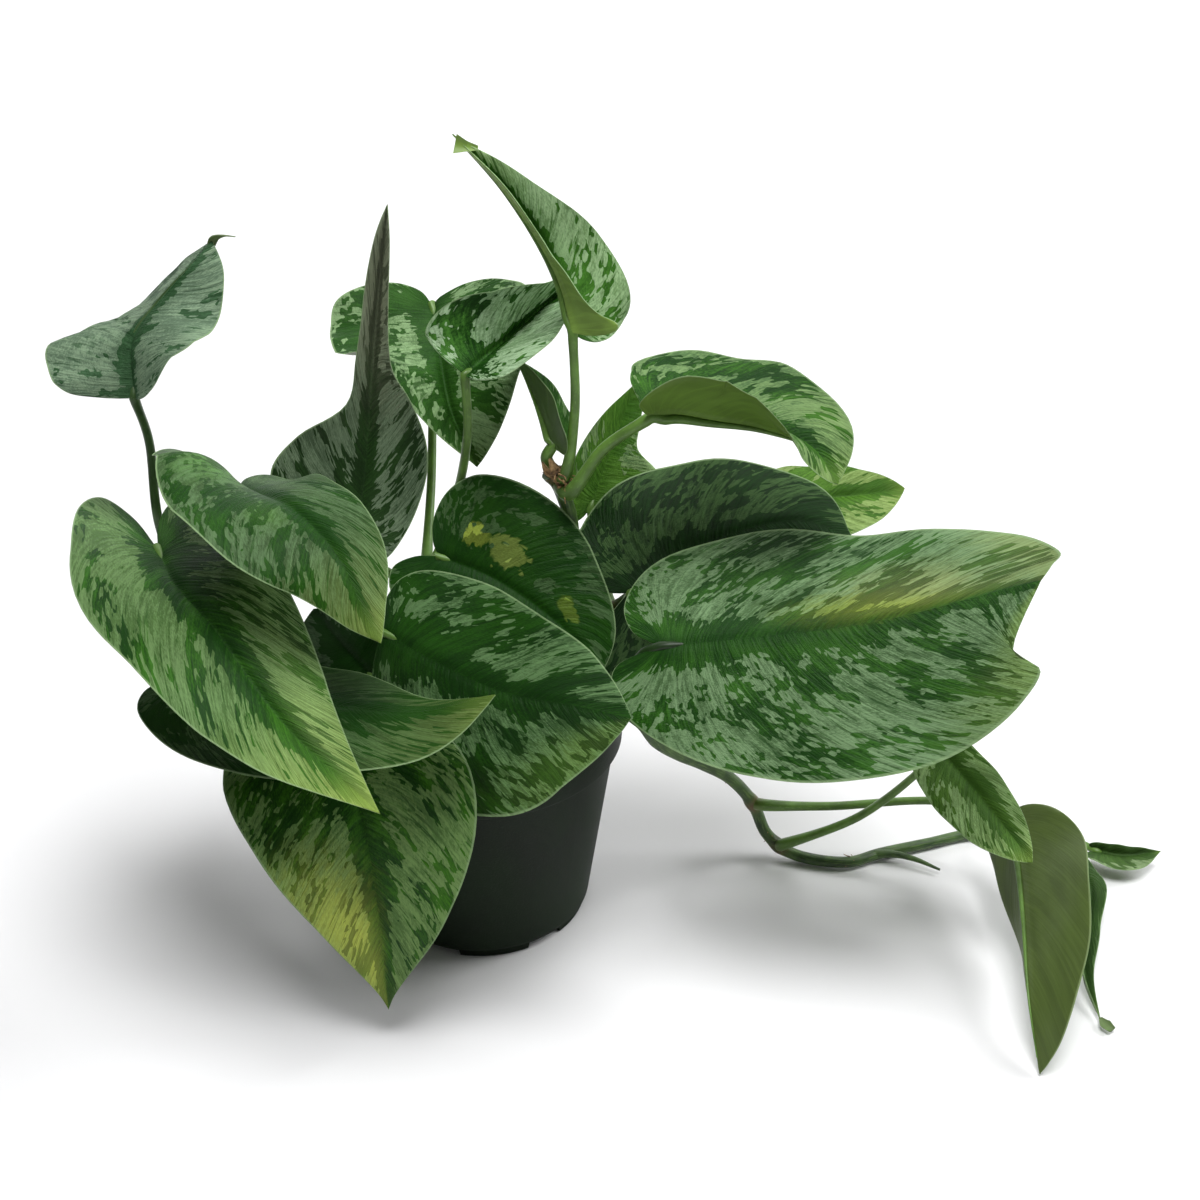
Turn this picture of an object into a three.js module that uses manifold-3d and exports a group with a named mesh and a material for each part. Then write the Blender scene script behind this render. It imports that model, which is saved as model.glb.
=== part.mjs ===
// A satin pothos with six stems in a tapered nursery pot, made with three.js.
//
// Units are millimetres, +Z is up and the origin is the middle of the pot's flat underside, so the
// floor is z = 0. The open front of the plant faces -Y and its longest vine trails to +X.
//
// A leaf is a flat heart-shaped outline laid along a curved midrib. Each half of the blade then lifts
// by its fold angle and rolls by its curl angle, and its margin waves.

import * as THREE from 'three';
import { mergeVertices } from 'three/addons/utils/BufferGeometryUtils.js';
import Module from 'manifold-3d';

const wasm = await Module();
wasm.setup();

// ---------------------------------------------------------------- driving dimensions

const POT_HEIGHT = 96;
const POT_FOOT_RADIUS = 40.5;
const POT_WALL_FOOT_RADIUS = 42;
const POT_FOOT_HEIGHT = 4;
const POT_TOP_RADIUS = 52.5;
const POT_WALL = 1.6;
const POT_BAND_HEIGHT = 20;
const POT_BAND_STEP = 2.6;
const POT_BAND_BEVEL = 1.5;
const POT_BAND_FLARE = 1;
const POT_FOOT_BEVEL = 0.8;
const POT_FLOOR = 3;
const POT_SIDES = 56;
const DRAIN_NOTCHES = 6;
const DRAIN_NOTCH_WIDTH = 15;
const DRAIN_NOTCH_HEIGHT = 2.4;
const DRAIN_NOTCH_DEPTH = 3;
const DRAIN_NOTCH_TURN = 0.15;

const SOIL_TOP = 80;
const SOIL_RELIEF = 1.6;
const SOIL_RINGS = 7;
const SOIL_LUMP = 4.7;
const SOIL_CRUMB = 2.9;
const CLEARANCE = 0.3;

const BLADE_THICKNESS = 0.8;
const BLADE_ROWS = 10;
const BLADE_COLUMNS = 3;
// How strongly the rows of a blade bend towards its tip on their way out from the midrib.
const VEIN_SWEEP = 1.3;
const PETIOLE_SIDES = 6;
const STEM_SIDES = 10;
const TUBE_STEP = 12;
const FEWEST_TUBE_STEPS = 3;
const PETIOLE_SINK = 9;
const PETIOLE_DROP = 0.7;
const SHORTEST_EDGE = 0.03;
const SAME_POINT = 0.001;
const WAVE_LAG = 0.37;
const LEAST_ROLL = 1e-4;
// Radii at the two ends of a petiole, and of the sheath that a shed leaf leaves on its vine.
const PETIOLE_RADII = [1.9, 1.5];
const SHEATH_RADII = [2, 0.5];

const SILVER_GREEN = 0x5d7b5c;
const MID_GREEN = 0x46663f;
const DEEP_GREEN = 0x2f4a28;
const BRIGHT_GREEN = 0x5f7a3a;
const OLIVE_UNDERSIDE = 0x4c5f2a;
const STEM_GREEN = 0x45602a;
const POT_GREEN = 0x202a22;
const SOIL_BROWN = 0x2b211a;
const LEAF_ROUGHNESS = 0.5;
const STEM_ROUGHNESS = 0.55;
const POT_ROUGHNESS = 0.8;
const SOIL_ROUGHNESS = 0.95;

// Where on the midrib the side veins start, from base to tip, in shares of its length.
const VEIN_FEET = [0, 0, 0, 0.02, 0.08, 0.17, 0.3, 0.44, 0.58, 0.73, 0.88, 1];

// Half a blade laid flat, from its base to its tip: how far each side vein's end is along the midrib
// and how far out from it, in shares of the blade's length and half width.
const HEART = [
  [0.00, 0.00],
  [-0.08, 0.12],
  [-0.14, 0.36],
  [-0.11, 0.66],
  [0.02, 0.90],
  [0.20, 1.00],
  [0.40, 0.96],
  [0.58, 0.79],
  [0.74, 0.54],
  [0.87, 0.27],
  [0.95, 0.10],
  [1.00, 0.00],
];
// A blade with shallow lobes and a broad tip.
const BLUNT = [
  [0.00, 0.00],
  [-0.05, 0.12],
  [-0.09, 0.36],
  [-0.06, 0.64],
  [0.06, 0.88],
  [0.24, 1.00],
  [0.44, 0.99],
  [0.62, 0.88],
  [0.78, 0.66],
  [0.90, 0.38],
  [0.97, 0.14],
  [1.00, 0.00],
];
// A blade without lobes at its base.
const NARROW_FOOT = [
  [0.00, 0.00],
  [0.00, 0.20],
  [0.03, 0.44],
  [0.10, 0.70],
  [0.20, 0.90],
  [0.32, 1.00],
  [0.47, 0.99],
  [0.63, 0.87],
  [0.78, 0.65],
  [0.90, 0.38],
  [0.97, 0.14],
  [1.00, 0.00],
];
// A blade that narrows early to a long point.
const POINTED = [
  [0.00, 0.00],
  [-0.08, 0.12],
  [-0.13, 0.36],
  [-0.10, 0.66],
  [0.02, 0.90],
  [0.18, 1.00],
  [0.37, 0.94],
  [0.54, 0.74],
  [0.71, 0.47],
  [0.85, 0.22],
  [0.94, 0.07],
  [1.00, 0.00],
];
// The same with a slimmer middle.
const TAPERED = [
  [0.00, 0.00],
  [-0.08, 0.12],
  [-0.13, 0.36],
  [-0.10, 0.66],
  [0.02, 0.92],
  [0.16, 1.00],
  [0.31, 0.90],
  [0.46, 0.68],
  [0.63, 0.45],
  [0.80, 0.24],
  [0.92, 0.08],
  [1.00, 0.00],
];
// A pointed blade that widens slowly, without a lobe.
const SLOW_FOOT = [
  [0.00, 0.00],
  [0.02, 0.10],
  [0.06, 0.24],
  [0.11, 0.42],
  [0.17, 0.62],
  [0.25, 0.82],
  [0.36, 0.93],
  [0.54, 0.74],
  [0.71, 0.47],
  [0.85, 0.22],
  [0.94, 0.07],
  [1.00, 0.00],
];
// A blade with no lobe and its widest place low down, where it starts to roll back.
const HOODED = [
  [0.00, 0.00],
  [0.00, 0.20],
  [0.01, 0.42],
  [0.04, 0.66],
  [0.10, 0.82],
  [0.17, 0.93],
  [0.24, 1.01],
  [0.28, 0.76],
  [0.38, 0.72],
  [0.56, 0.74],
  [0.80, 0.48],
  [1.00, 0.00],
];
// A blade with long, broad lobes at its base.
const BROAD_LOBE = [
  [0.00, 0.00],
  [-0.17, 0.10],
  [-0.30, 0.34],
  [-0.31, 0.66],
  [-0.18, 0.92],
  [0.04, 1.00],
  [0.26, 0.97],
  [0.48, 0.83],
  [0.68, 0.60],
  [0.85, 0.30],
  [0.95, 0.10],
  [1.00, 0.00],
];
// A blade whose last two thirds narrow to a rolled tip.
const LONG_TIP = [
  [0.00, 0.00],
  [-0.08, 0.20],
  [-0.06, 0.60],
  [0.06, 0.92],
  [0.20, 1.00],
  [0.31, 0.76],
  [0.41, 0.27],
  [0.56, 0.22],
  [0.75, 0.21],
  [0.88, 0.16],
  [0.95, 0.09],
  [1.00, 0.00],
];
// The same, with its widest place further on.
const LATE_TIP = [
  [0.00, 0.00],
  [-0.08, 0.20],
  [-0.06, 0.55],
  [0.04, 0.77],
  [0.15, 0.93],
  [0.26, 1.00],
  [0.36, 0.89],
  [0.45, 0.67],
  [0.54, 0.35],
  [0.72, 0.26],
  [0.90, 0.17],
  [1.00, 0.00],
];
// A blade that narrows all the way from a pointed lobe.
const SPIKED_LOBE = [
  [0.00, 0.00],
  [-0.10, 0.25],
  [-0.17, 0.60],
  [-0.18, 0.90],
  [-0.09, 1.00],
  [0.03, 0.80],
  [0.15, 0.56],
  [0.30, 0.42],
  [0.48, 0.33],
  [0.68, 0.24],
  [0.86, 0.12],
  [1.00, 0.00],
];
// A blade whose last fifth is torn off, on the half that keeps a long corner.
const TORN_LEFT = [
  [0.00, 0.00],
  [-0.08, 0.14],
  [-0.11, 0.42],
  [-0.04, 0.74],
  [0.14, 0.97],
  [0.36, 1.00],
  [0.58, 0.87],
  [0.78, 0.77],
  [0.98, 0.55],
  [1.07, 0.26],
  [1.04, 0.13],
  [1.00, 0.00],
];
// The other half of the torn blade, with the notch.
const TORN_RIGHT = [
  [0.00, 0.00],
  [-0.12, 0.10],
  [-0.14, 0.27],
  [-0.09, 0.49],
  [0.03, 0.71],
  [0.20, 0.89],
  [0.42, 0.99],
  [0.64, 0.96],
  [0.83, 0.79],
  [0.94, 0.56],
  [0.89, 0.38],
  [1.00, 0.00],
];

// ---------------------------------------------------------------- small helpers

function point(xyz) {
  return new THREE.Vector3(xyz[0], xyz[1], xyz[2]);
}

function radians(degrees) {
  return degrees * Math.PI / 180;
}

function mix(a, b, share) {
  return a + (b - a) * share;
}

function pair(value) {
  return Array.isArray(value) ? value : [value, value];
}

// The value at a share of the way through a list of evenly spaced values.
function valueAlong(values, share) {
  const list = pair(values);
  const place = share * (list.length - 1);
  const index = Math.min(Math.floor(place), list.length - 2);
  return mix(list[index], list[index + 1], place - index);
}

function vectorAlong(vectors, share) {
  const list = vectors.length > 1 ? vectors : [vectors[0], vectors[0]];
  const [x, y, z] = [0, 1, 2].map((axis) => valueAlong(list.map((vector) => vector[axis]), share));
  return new THREE.Vector3(x, y, z);
}

function smoothCurve(points) {
  return new THREE.CatmullRomCurve3(points.map(point), false, 'centripetal');
}

function closedGeometry(vertices, triangles) {
  const geometry = new THREE.BufferGeometry();
  const flat = vertices.flatMap((vertex) => [vertex.x, vertex.y, vertex.z]);
  geometry.setAttribute('position', new THREE.Float32BufferAttribute(flat, 3));
  geometry.setIndex(triangles.flat());
  return geometry;
}

function toSolid(geometry) {
  const bare = geometry.clone();
  bare.deleteAttribute('normal');
  bare.deleteAttribute('uv');
  const merged = mergeVertices(bare, SAME_POINT);
  const mesh = new wasm.Mesh({
    numProp: 3,
    vertProperties: new Float32Array(merged.attributes.position.array),
    triVerts: new Uint32Array(merged.index.array),
  });
  return new wasm.Manifold(mesh);
}

// Points closer than the shortest edge become one, and the triangles between them go.
function toGeometry(solid) {
  const mesh = solid.getMesh();
  const geometry = new THREE.BufferGeometry();
  geometry.setAttribute('position', new THREE.BufferAttribute(mesh.vertProperties, 3));
  geometry.setIndex(new THREE.BufferAttribute(mesh.triVerts, 1));
  const merged = mergeVertices(geometry, SHORTEST_EDGE);
  const kept = [];
  for (let index = 0; index < merged.index.count; index += 3) {
    const [a, b, c] = [0, 1, 2].map((step) => merged.index.getX(index + step));
    if (a !== b && b !== c && a !== c) {
      kept.push(a, b, c);
    }
  }
  merged.setIndex(kept);
  merged.computeVertexNormals();
  return merged;
}

// ---------------------------------------------------------------- tubes

// A tube with flat ends along a smooth curve, whose radius runs from first to last.
function tube(points, firstRadius, lastRadius, sides) {
  const curve = smoothCurve(points);
  const steps = Math.max(FEWEST_TUBE_STEPS, Math.round(curve.getLength() / TUBE_STEP));
  const frames = curve.computeFrenetFrames(steps, false);
  const vertices = [];
  const triangles = [];
  for (let step = 0; step <= steps; step += 1) {
    const centre = curve.getPointAt(step / steps);
    const radius = mix(firstRadius, lastRadius, step / steps);
    for (let side = 0; side < sides; side += 1) {
      const angle = 2 * Math.PI * side / sides;
      const spoke = frames.normals[step].clone().multiplyScalar(Math.cos(angle) * radius);
      spoke.addScaledVector(frames.binormals[step], Math.sin(angle) * radius);
      vertices.push(spoke.add(centre));
    }
  }
  for (let step = 0; step < steps; step += 1) {
    for (let side = 0; side < sides; side += 1) {
      const next = (side + 1) % sides;
      const a = step * sides + side;
      const b = step * sides + next;
      triangles.push([a, b, b + sides], [a, b + sides, a + sides]);
    }
  }
  const last = steps * sides;
  for (let side = 1; side < sides - 1; side += 1) {
    triangles.push([0, side + 1, side], [last, last + side, last + side + 1]);
  }
  return closedGeometry(vertices, triangles);
}

// ---------------------------------------------------------------- leaf blades

// The place along, the place out and the side vein's foot for each row of a half blade.
function outlineRows(outline, lobes) {
  const reach = ([along, out]) => new THREE.Vector2(along < 0 ? along * lobes : along, out);
  const rim = new THREE.SplineCurve(outline.map(reach));
  const rows = [];
  for (let row = 0; row <= BLADE_ROWS; row += 1) {
    const share = row / BLADE_ROWS;
    const edge = rim.getPoint(share);
    rows.push({ along: edge.x, out: Math.max(0, edge.y), foot: valueAlong(VEIN_FEET, share) });
  }
  return rows;
}

// Bends the flat blade: gives a function from millimetres along and out to a point in space.
function bladeShape(leaf) {
  const curve = smoothCurve(leaf.midrib);
  const length = curve.getLength();
  const [leftWidth, rightWidth] = pair(leaf.width);
  const halves = {
    left: {
      sign: -1,
      reach: leftWidth / 2,
      fold: leaf.leftFold ?? leaf.fold,
      curl: leaf.leftCurl ?? 0,
      lag: WAVE_LAG,
    },
    right: {
      sign: 1,
      reach: rightWidth / 2,
      fold: leaf.rightFold ?? leaf.fold,
      curl: leaf.rightCurl ?? 0,
      lag: 0,
    },
  };
  const { wave } = leaf;

  function place(alongShare, outShare, name) {
    const half = halves[name];
    const share = THREE.MathUtils.clamp(alongShare, 0, 1);
    const centre = curve.getPointAt(share);
    const forward = curve.getTangentAt(share);
    centre.addScaledVector(forward, (alongShare - share) * length);
    const face = vectorAlong(leaf.faces, share);
    face.addScaledVector(forward, -face.dot(forward)).normalize();
    const across = forward.clone().cross(face).multiplyScalar(half.sign);
    const fold = radians(valueAlong(half.fold, share));
    const roll = radians(valueAlong(half.curl, share)) * outShare;
    const out = outShare * half.reach;
    const bent = Math.abs(roll) > LEAST_ROLL;
    const level = bent ? (Math.sin(fold + roll) - Math.sin(fold)) / roll : Math.cos(fold);
    const lift = bent ? (Math.cos(fold) - Math.cos(fold + roll)) / roll : Math.sin(fold);
    const phase = wave.count * alongShare + wave.start + half.lag;
    const ripple = wave.size * outShare ** 2 * Math.sin(2 * Math.PI * phase);
    centre.addScaledVector(across, out * level);
    return centre.addScaledVector(face, out * lift + ripple);
  }
  return place;
}

function blade(leaf) {
  const place = bladeShape(leaf);
  const outlines = { left: leaf.leftOutline ?? leaf.outline, right: leaf.rightOutline ?? leaf.outline };
  const [leftLobes, rightLobes] = pair(leaf.lobes ?? 1);
  const lobes = { left: leftLobes, right: rightLobes };
  const middle = [];
  const triangles = [];
  for (const name of ['left', 'right']) {
    const rows = outlineRows(outlines[name] ?? HEART, lobes[name]);
    const grid = rows.map((row) => {
      const line = [];
      for (let column = 0; column <= BLADE_COLUMNS; column += 1) {
        const share = column / BLADE_COLUMNS;
        line.push(middle.length);
        middle.push(place(mix(row.foot, row.along, share ** VEIN_SWEEP), row.out * share, name));
      }
      return line;
    });
    for (let row = 0; row < BLADE_ROWS; row += 1) {
      for (let column = 0; column < BLADE_COLUMNS; column += 1) {
        const a = grid[row][column];
        const b = grid[row][column + 1];
        const c = grid[row + 1][column + 1];
        const d = grid[row + 1][column];
        const faces = row < BLADE_ROWS / 2 ? [[a, b, c], [a, c, d]] : [[a, b, d], [b, c, d]];
        triangles.push(...(name === 'right' ? faces : faces.map((face) => face.toReversed())));
      }
    }
  }
  return thicken(middle, triangles, BLADE_THICKNESS);
}

// Gives a sheet its thickness: both faces carry the same triangles, and a wall closes the margin.
function thicken(vertices, triangles, thickness) {
  const sheet = mergeVertices(closedGeometry(vertices, triangles), SAME_POINT);
  sheet.computeVertexNormals();
  const { position, normal } = sheet.attributes;
  const count = position.count;
  const solid = [];
  for (const half of [thickness / 2, -thickness / 2]) {
    for (let index = 0; index < count; index += 1) {
      const vertex = new THREE.Vector3().fromBufferAttribute(position, index);
      solid.push(vertex.addScaledVector(new THREE.Vector3().fromBufferAttribute(normal, index), half));
    }
  }
  const faces = [];
  const edges = new Map();
  for (let index = 0; index < sheet.index.count; index += 3) {
    const corners = [0, 1, 2].map((step) => sheet.index.getX(index + step));
    const [a, b, c] = corners;
    if (a !== b && b !== c && a !== c) {
      faces.push([a, b, c], [c + count, b + count, a + count]);
      for (const [from, to] of [[a, b], [b, c], [c, a]]) {
        edges.set(`${from}_${to}`, [from, to]);
      }
    }
  }
  for (const [from, to] of edges.values()) {
    if (!edges.has(`${to}_${from}`)) {
      faces.push([to, from, from + count], [to, from + count, to + count]);
    }
  }
  return closedGeometry(solid, faces);
}

// ---------------------------------------------------------------- leaves

// A leaf's petiole starts beside its stem, and its end sinks along the midrib into the blade.
function leafGeometry(leaf) {
  const curve = smoothCurve(leaf.midrib);
  const below = point(leaf.faces[0]).normalize().multiplyScalar(-PETIOLE_DROP);
  const start = curve.getPointAt(0).add(below);
  const inside = curve.getPointAt(PETIOLE_SINK / curve.getLength()).add(below);
  const route = [...leaf.petiole, start.toArray(), inside.toArray()];
  const [foot, head] = leaf.petioleRadius ?? PETIOLE_RADII;
  const stalk = tube(route, foot, head, PETIOLE_SIDES);
  return toGeometry(toSolid(blade(leaf)).add(toSolid(stalk)));
}

const STEMS = {
  stem_upright: {
    route: [[28, 18, 74], [32, 16, 100], [36, 14, 135], [36, 10, 163], [33, 7, 176], [30, 6, 184]],
    radius: [3.2, 2.6],
  },
  stem_trailing: {
    route: [
      [30, -16, 74], [38, -18, 94], [50, -20, 103], [61, -20, 96], [68, -12, 81], [77, -2, 68],
      [87, 7, 57], [99, 15, 44], [109, 20, 28], [116, 21, 11], [126, 18, 3.8], [148, 13, 3.1],
      [163, 19, 3], [184, 26, 2.8], [203, 32, 2.8], [222, 30, 3], [236, 22, 4],
    ],
    radius: [3, 2],
    sheath: [[160, 18, 3.4], [169, 17, 4], [177, 14, 3.6], [186, 9, 2.4]],
  },
  stem_left: {
    route: [[-28, -2, 74], [-40, -5, 95], [-55, -8, 106], [-75, -10, 114], [-92, -10, 122], [-103, -8, 134]],
    radius: [3, 2.4],
  },
  stem_centre: {
    route: [[-8, 12, 74], [-10, 12, 100], [-14, 12, 125], [-17, 12, 145]],
    radius: [3, 2.5],
  },
  stem_front: {
    route: [[-14, -22, 74], [-18, -26, 92], [-25, -30, 104], [-33, -30, 108]],
    radius: [2.8, 2.4],
  },
  stem_back: {
    route: [[24, 28, 74], [36, 30, 98], [56, 32, 116], [76, 36, 132]],
    radius: [2.8, 2.4],
  },
};

const LEAVES = {
  leaf_far_left: {
    midrib: [[-113, 0, 215], [-113, 6, 233], [-104, 14, 245], [-90, 22, 258], [-86, 26, 262]],
    faces: [[0.1, -0.9, 0.4]], width: [61, 54], leftOutline: HOODED, rightOutline: NARROW_FOOT,
    leftFold: [0, 0, -20, -60, -71, -73, -72, -66, -60], rightFold: [60, 50, 40, 10, 0],
    petiole: [[-106, 2, 138], [-113, 8, 163], [-112, 7, 196]],
    wave: { size: 1, count: 2.5, start: 0.0 }, color: SILVER_GREEN,
  },
  leaf_left_folded: {
    midrib: [[-77, -14, 187], [-54, -46, 197], [-37, -64, 189], [-27, -78, 174], [-22, -84, 168]],
    faces: [[0.1, 0.3, 0.95], [-0.1, -0.4, 0.9], [-0.3, -0.75, 0.4]], width: [38, 70],
    leftOutline: BLUNT, rightOutline: BROAD_LOBE, lobes: [1, 0.6],
    leftFold: [30, -5, -15], rightFold: [62, 25, 12, 5, 0],
    leftCurl: [-30, -10, 0], rightCurl: [-85, -30, -10, 0, 0],
    petiole: [[-83, -4, 123], [-78, 0, 150], [-75, -3, 172]],
    wave: { size: 1.2, count: 3, start: 0.17 }, color: SILVER_GREEN,
  },
  leaf_left_large: {
    midrib: [
      [-109, -12, 164], [-98, -36, 163], [-80, -58, 157], [-62, -76, 141], [-50, -88, 134], [-23, -106, 118],
    ],
    faces: [[0.1, -0.3, 0.95], [0.1, -0.6, 0.8]], width: [57, 66], fold: 12, lobes: [1.2, 2.05],
    petiole: [[-97, -15, 129], [-104, -11, 145], [-109, -6, 156]],
    wave: { size: 1.8, count: 2, start: 0.34 }, color: MID_GREEN,
  },
  leaf_left_under: {
    midrib: [[-97, -40, 128], [-63, -56, 128], [-39, -66, 133], [-12, -76, 137], [13, -80, 146]],
    faces: [[0, -0.45, 0.9]], width: [48, 62], leftFold: [-10, -46], rightFold: 5, rightOutline: BLUNT,
    petiole: [[-76, -15, 111], [-88, -24, 112], [-95, -34, 120]],
    wave: { size: 1.2, count: 2.5, start: 0.51 }, color: MID_GREEN,
  },
  leaf_front_hanging: {
    midrib: [[-50, -40, 120], [-41, -61, 109], [-34, -76, 94], [-30, -85, 62], [-29, -85, 15]],
    faces: [[0, -0.9, 0.4]], width: [88, 84], fold: 8,
    leftOutline: SLOW_FOOT, rightOutline: POINTED, lobes: 0.6,
    petiole: [[-34, -30, 109], [-42, -32, 114]],
    wave: { size: 1.8, count: 3, start: 0.68 }, color: MID_GREEN,
  },
  leaf_between: {
    midrib: [[-37, -13, 110], [-44, -15, 121], [-50, -17, 132], [-55, -18, 142]],
    faces: [[0, -0.92, 0.4]], width: [40, 34], fold: 6, outline: BLUNT, lobes: 0.6,
    petiole: [[-36, -10, 97], [-36, -11, 103]],
    wave: { size: 1, count: 2, start: 0.3 }, color: DEEP_GREEN,
  },
  leaf_front_right: {
    midrib: [[-30, -26, 137], [-4, -45, 133], [16, -58, 132], [38, -68, 134], [57, -74, 133]],
    faces: [[-0.1, -0.95, 0.3], [-0.1, -0.85, 0.5]], width: [64, 92],
    leftFold: -20, rightFold: 0, leftOutline: BLUNT, rightOutline: NARROW_FOOT, lobes: [0.6, 1],
    petiole: [[-22, -23, 107], [-28, -21, 122]],
    wave: { size: 1.6, count: 2, start: 0.85 }, color: MID_GREEN,
  },
  leaf_right_torn: {
    midrib: [[68, -30, 134], [98, -36, 141], [140, -42, 151], [180, -44, 164], [194, -44, 168]],
    faces: [[0, -0.7, 0.7]], width: [94, 106], leftFold: [-20, -34], rightFold: -3,
    leftOutline: TORN_LEFT, rightOutline: TORN_RIGHT,
    petiole: [[52, -23, 106], [58, -26, 122], [62, -28, 130]],
    wave: { size: 2, count: 2.5, start: 0.02 }, color: SILVER_GREEN,
  },
  leaf_right_back: {
    midrib: [[58, 8, 134], [84, 20, 147], [121, 25, 155], [140, 14, 153]],
    faces: [[0, -0.4, 0.9]], width: [76, 92], leftFold: 8, rightFold: [-62, -50, -20, 8], lobes: [0.9, 2.2],
    petiole: [[49, 24, 107], [54, 14, 121]],
    wave: { size: 1.4, count: 3, start: 0.19 }, color: DEEP_GREEN,
  },
  leaf_spotted: {
    midrib: [[-12, 3, 152], [8, -6, 148], [26, -14, 139], [39, -21, 129], [45, -26, 114]],
    faces: [[0, -0.85, 0.5]], width: [70, 56], fold: 5, lobes: [0.6, 1.3],
    petiole: [[-7, 7, 112], [-9, 5, 135]],
    wave: { size: 1.4, count: 2, start: 0.36 }, color: DEEP_GREEN,
  },
  leaf_upright: {
    midrib: [[-43, 7, 156], [-39, 17, 175], [-36, 24, 201], [-32, 30, 234], [-26, 32, 273]],
    faces: [[0, -0.97, 0.25]], width: [66, 46], leftOutline: LONG_TIP, rightOutline: LATE_TIP,
    lobes: [1, 0.6], leftFold: [5, 20, 50, 52], rightFold: [5, 10, 42, 55],
    petiole: [[-20, 15, 132], [-33, 9, 143]],
    wave: { size: 1.2, count: 2.5, start: 0.53 }, color: SILVER_GREEN,
  },
  leaf_back_hanging: {
    midrib: [[-17, 76, 221], [-13, 56, 208], [-8, 37, 194], [2, 21, 179]],
    faces: [[0, -0.8, 0.6], [0, -0.9, 0.45]], width: [82, 79],
    leftOutline: BLUNT, rightOutline: BROAD_LOBE, lobes: [0.8, 0.6],
    leftFold: [10, 30, 20], rightFold: [0, 8, 55, 60, 60],
    petiole: [[-18, 19, 140], [-18, 52, 163], [-18, 78, 203]],
    wave: { size: 1.6, count: 3, start: 0.7 }, color: MID_GREEN,
  },
  leaf_middle: {
    midrib: [[0, 10, 220], [14, 25, 227], [29, 39, 236], [42, 48, 241]],
    faces: [[0.2, -0.65, 0.7]], width: [46, 54], lobes: [0.2, 0.4],
    leftFold: [0, 60, 82, 82], rightFold: 54,
    petiole: [[-14, 18, 143], [-7, 22, 163], [0, 10, 198]],
    wave: { size: 1, count: 2, start: 0.87 }, color: SILVER_GREEN,
  },
  leaf_top: {
    midrib: [[38, 0, 239], [33, 8, 256], [17, 18, 280], [-2, 24, 299]],
    faces: [[0.6, -0.43, 0.68]], width: [38, 42], leftOutline: SPIKED_LOBE, rightOutline: TAPERED,
    lobes: [0.3, 0.5], leftFold: [90, 45, 45, 45], rightFold: [22, 70, 82],
    petiole: [[34, 0, 185], [38, 0, 210]],
    wave: { size: 1.4, count: 2.5, start: 0.04 }, color: SILVER_GREEN,
  },
  leaf_arching: {
    midrib: [[64, -5, 211], [72, -2, 211], [85, 0, 208], [103, -3, 206], [119, -8, 201], [128, -16, 190]],
    faces: [[0, 0.18, 0.98], [0, 0.18, 0.98], [0.75, -0.3, 0.5]], width: 56,
    leftFold: [37, 41, 41], rightFold: [41, 35, -10], outline: BLUNT, lobes: [0.3, 1],
    petiole: [[36, -2, 180], [48, -4, 198]], petioleRadius: [2.4, 2],
    wave: { size: 1, count: 3, start: 0.21 }, color: BRIGHT_GREEN,
  },
  leaf_behind_arch: {
    midrib: [[43, 51, 147], [49, 58, 163], [55, 64, 178], [61, 70, 192]],
    faces: [[0, -0.8, 0.6]], width: [24, 56], fold: 8, rightOutline: LATE_TIP,
    petiole: [[50, 37, 114], [46, 46, 128]],
    wave: { size: 1, count: 2, start: 0.38 }, color: BRIGHT_GREEN,
  },
  leaf_right_tip: {
    midrib: [[111, 40, 157], [127, 42, 156], [146, 43, 157], [163, 44, 159]],
    faces: [[0, -0.6, 0.8]], width: [26, 38], fold: 8, outline: BLUNT,
    petiole: [[78, 37, 136], [95, 38, 150]],
    wave: { size: 1, count: 2.5, start: 0.55 }, color: BRIGHT_GREEN,
  },
  leaf_trailing_small: {
    midrib: [[177, -2, 71], [189, -17, 62], [199, -31, 54], [207, -42, 47]],
    faces: [[-0.2, -0.6, 0.75]], width: [21, 34], fold: 10, outline: BLUNT,
    petiole: [[122, 16, 10], [150, 8, 30], [172, 0, 60]],
    wave: { size: 1.2, count: 3, start: 0.72 }, color: BRIGHT_GREEN,
  },
  leaf_trailing_large: {
    midrib: [[206, -2, 38], [208, -20, 34], [205, -52, 27], [201, -84, 17], [202, -103, 1.5]],
    faces: [[0.8, 0.25, -0.54]], width: [32, 60], rightOutline: NARROW_FOOT,
    leftFold: [5, 35, 60], rightFold: 5,
    petiole: [[114, 16, 30], [140, 18, 28], [182, 12, 35]],
    wave: { size: 1.6, count: 2, start: 0.89 }, color: OLIVE_UNDERSIDE,
  },
  leaf_trailing_rolled: {
    midrib: [[252, 17, 6], [261, 13, 7], [277, 14, 8]],
    faces: [[0, -0.5, 0.85]], width: [8, 22], fold: [40, 20],
    petiole: [[243, 25, 5], [249, 21, 5]],
    petioleRadius: [1.6, 1.2],
    wave: { size: 0.5, count: 2.5, start: 0.06 }, color: OLIVE_UNDERSIDE,
  },
  leaf_trailing_end: {
    midrib: [[242, 2, 6], [242, -10, 8], [234, -36, 6], [229, -58, 4], [230, -77, 2]],
    faces: [[0.3, 0, 0.9]], width: [13, 20], fold: 50,
    petiole: [[228, 22, 6], [235, 14, 7], [240, 7, 7]],
    petioleRadius: [1.6, 1.2],
    wave: { size: 0.8, count: 3, start: 0.23 }, color: OLIVE_UNDERSIDE,
  },
  leaf_young_folded: {
    midrib: [[31, 4, 196], [28, 8, 204], [23, 14, 214], [17, 20, 222]],
    faces: [[0.8, -0.15, 0.55]], width: [26, 18], fold: 45,
    petiole: [[29, 5, 187], [28, 4, 191]],
    wave: { size: 0.5, count: 2, start: 0 }, color: BRIGHT_GREEN,
  },
};

// ---------------------------------------------------------------- pot and soil

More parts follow.
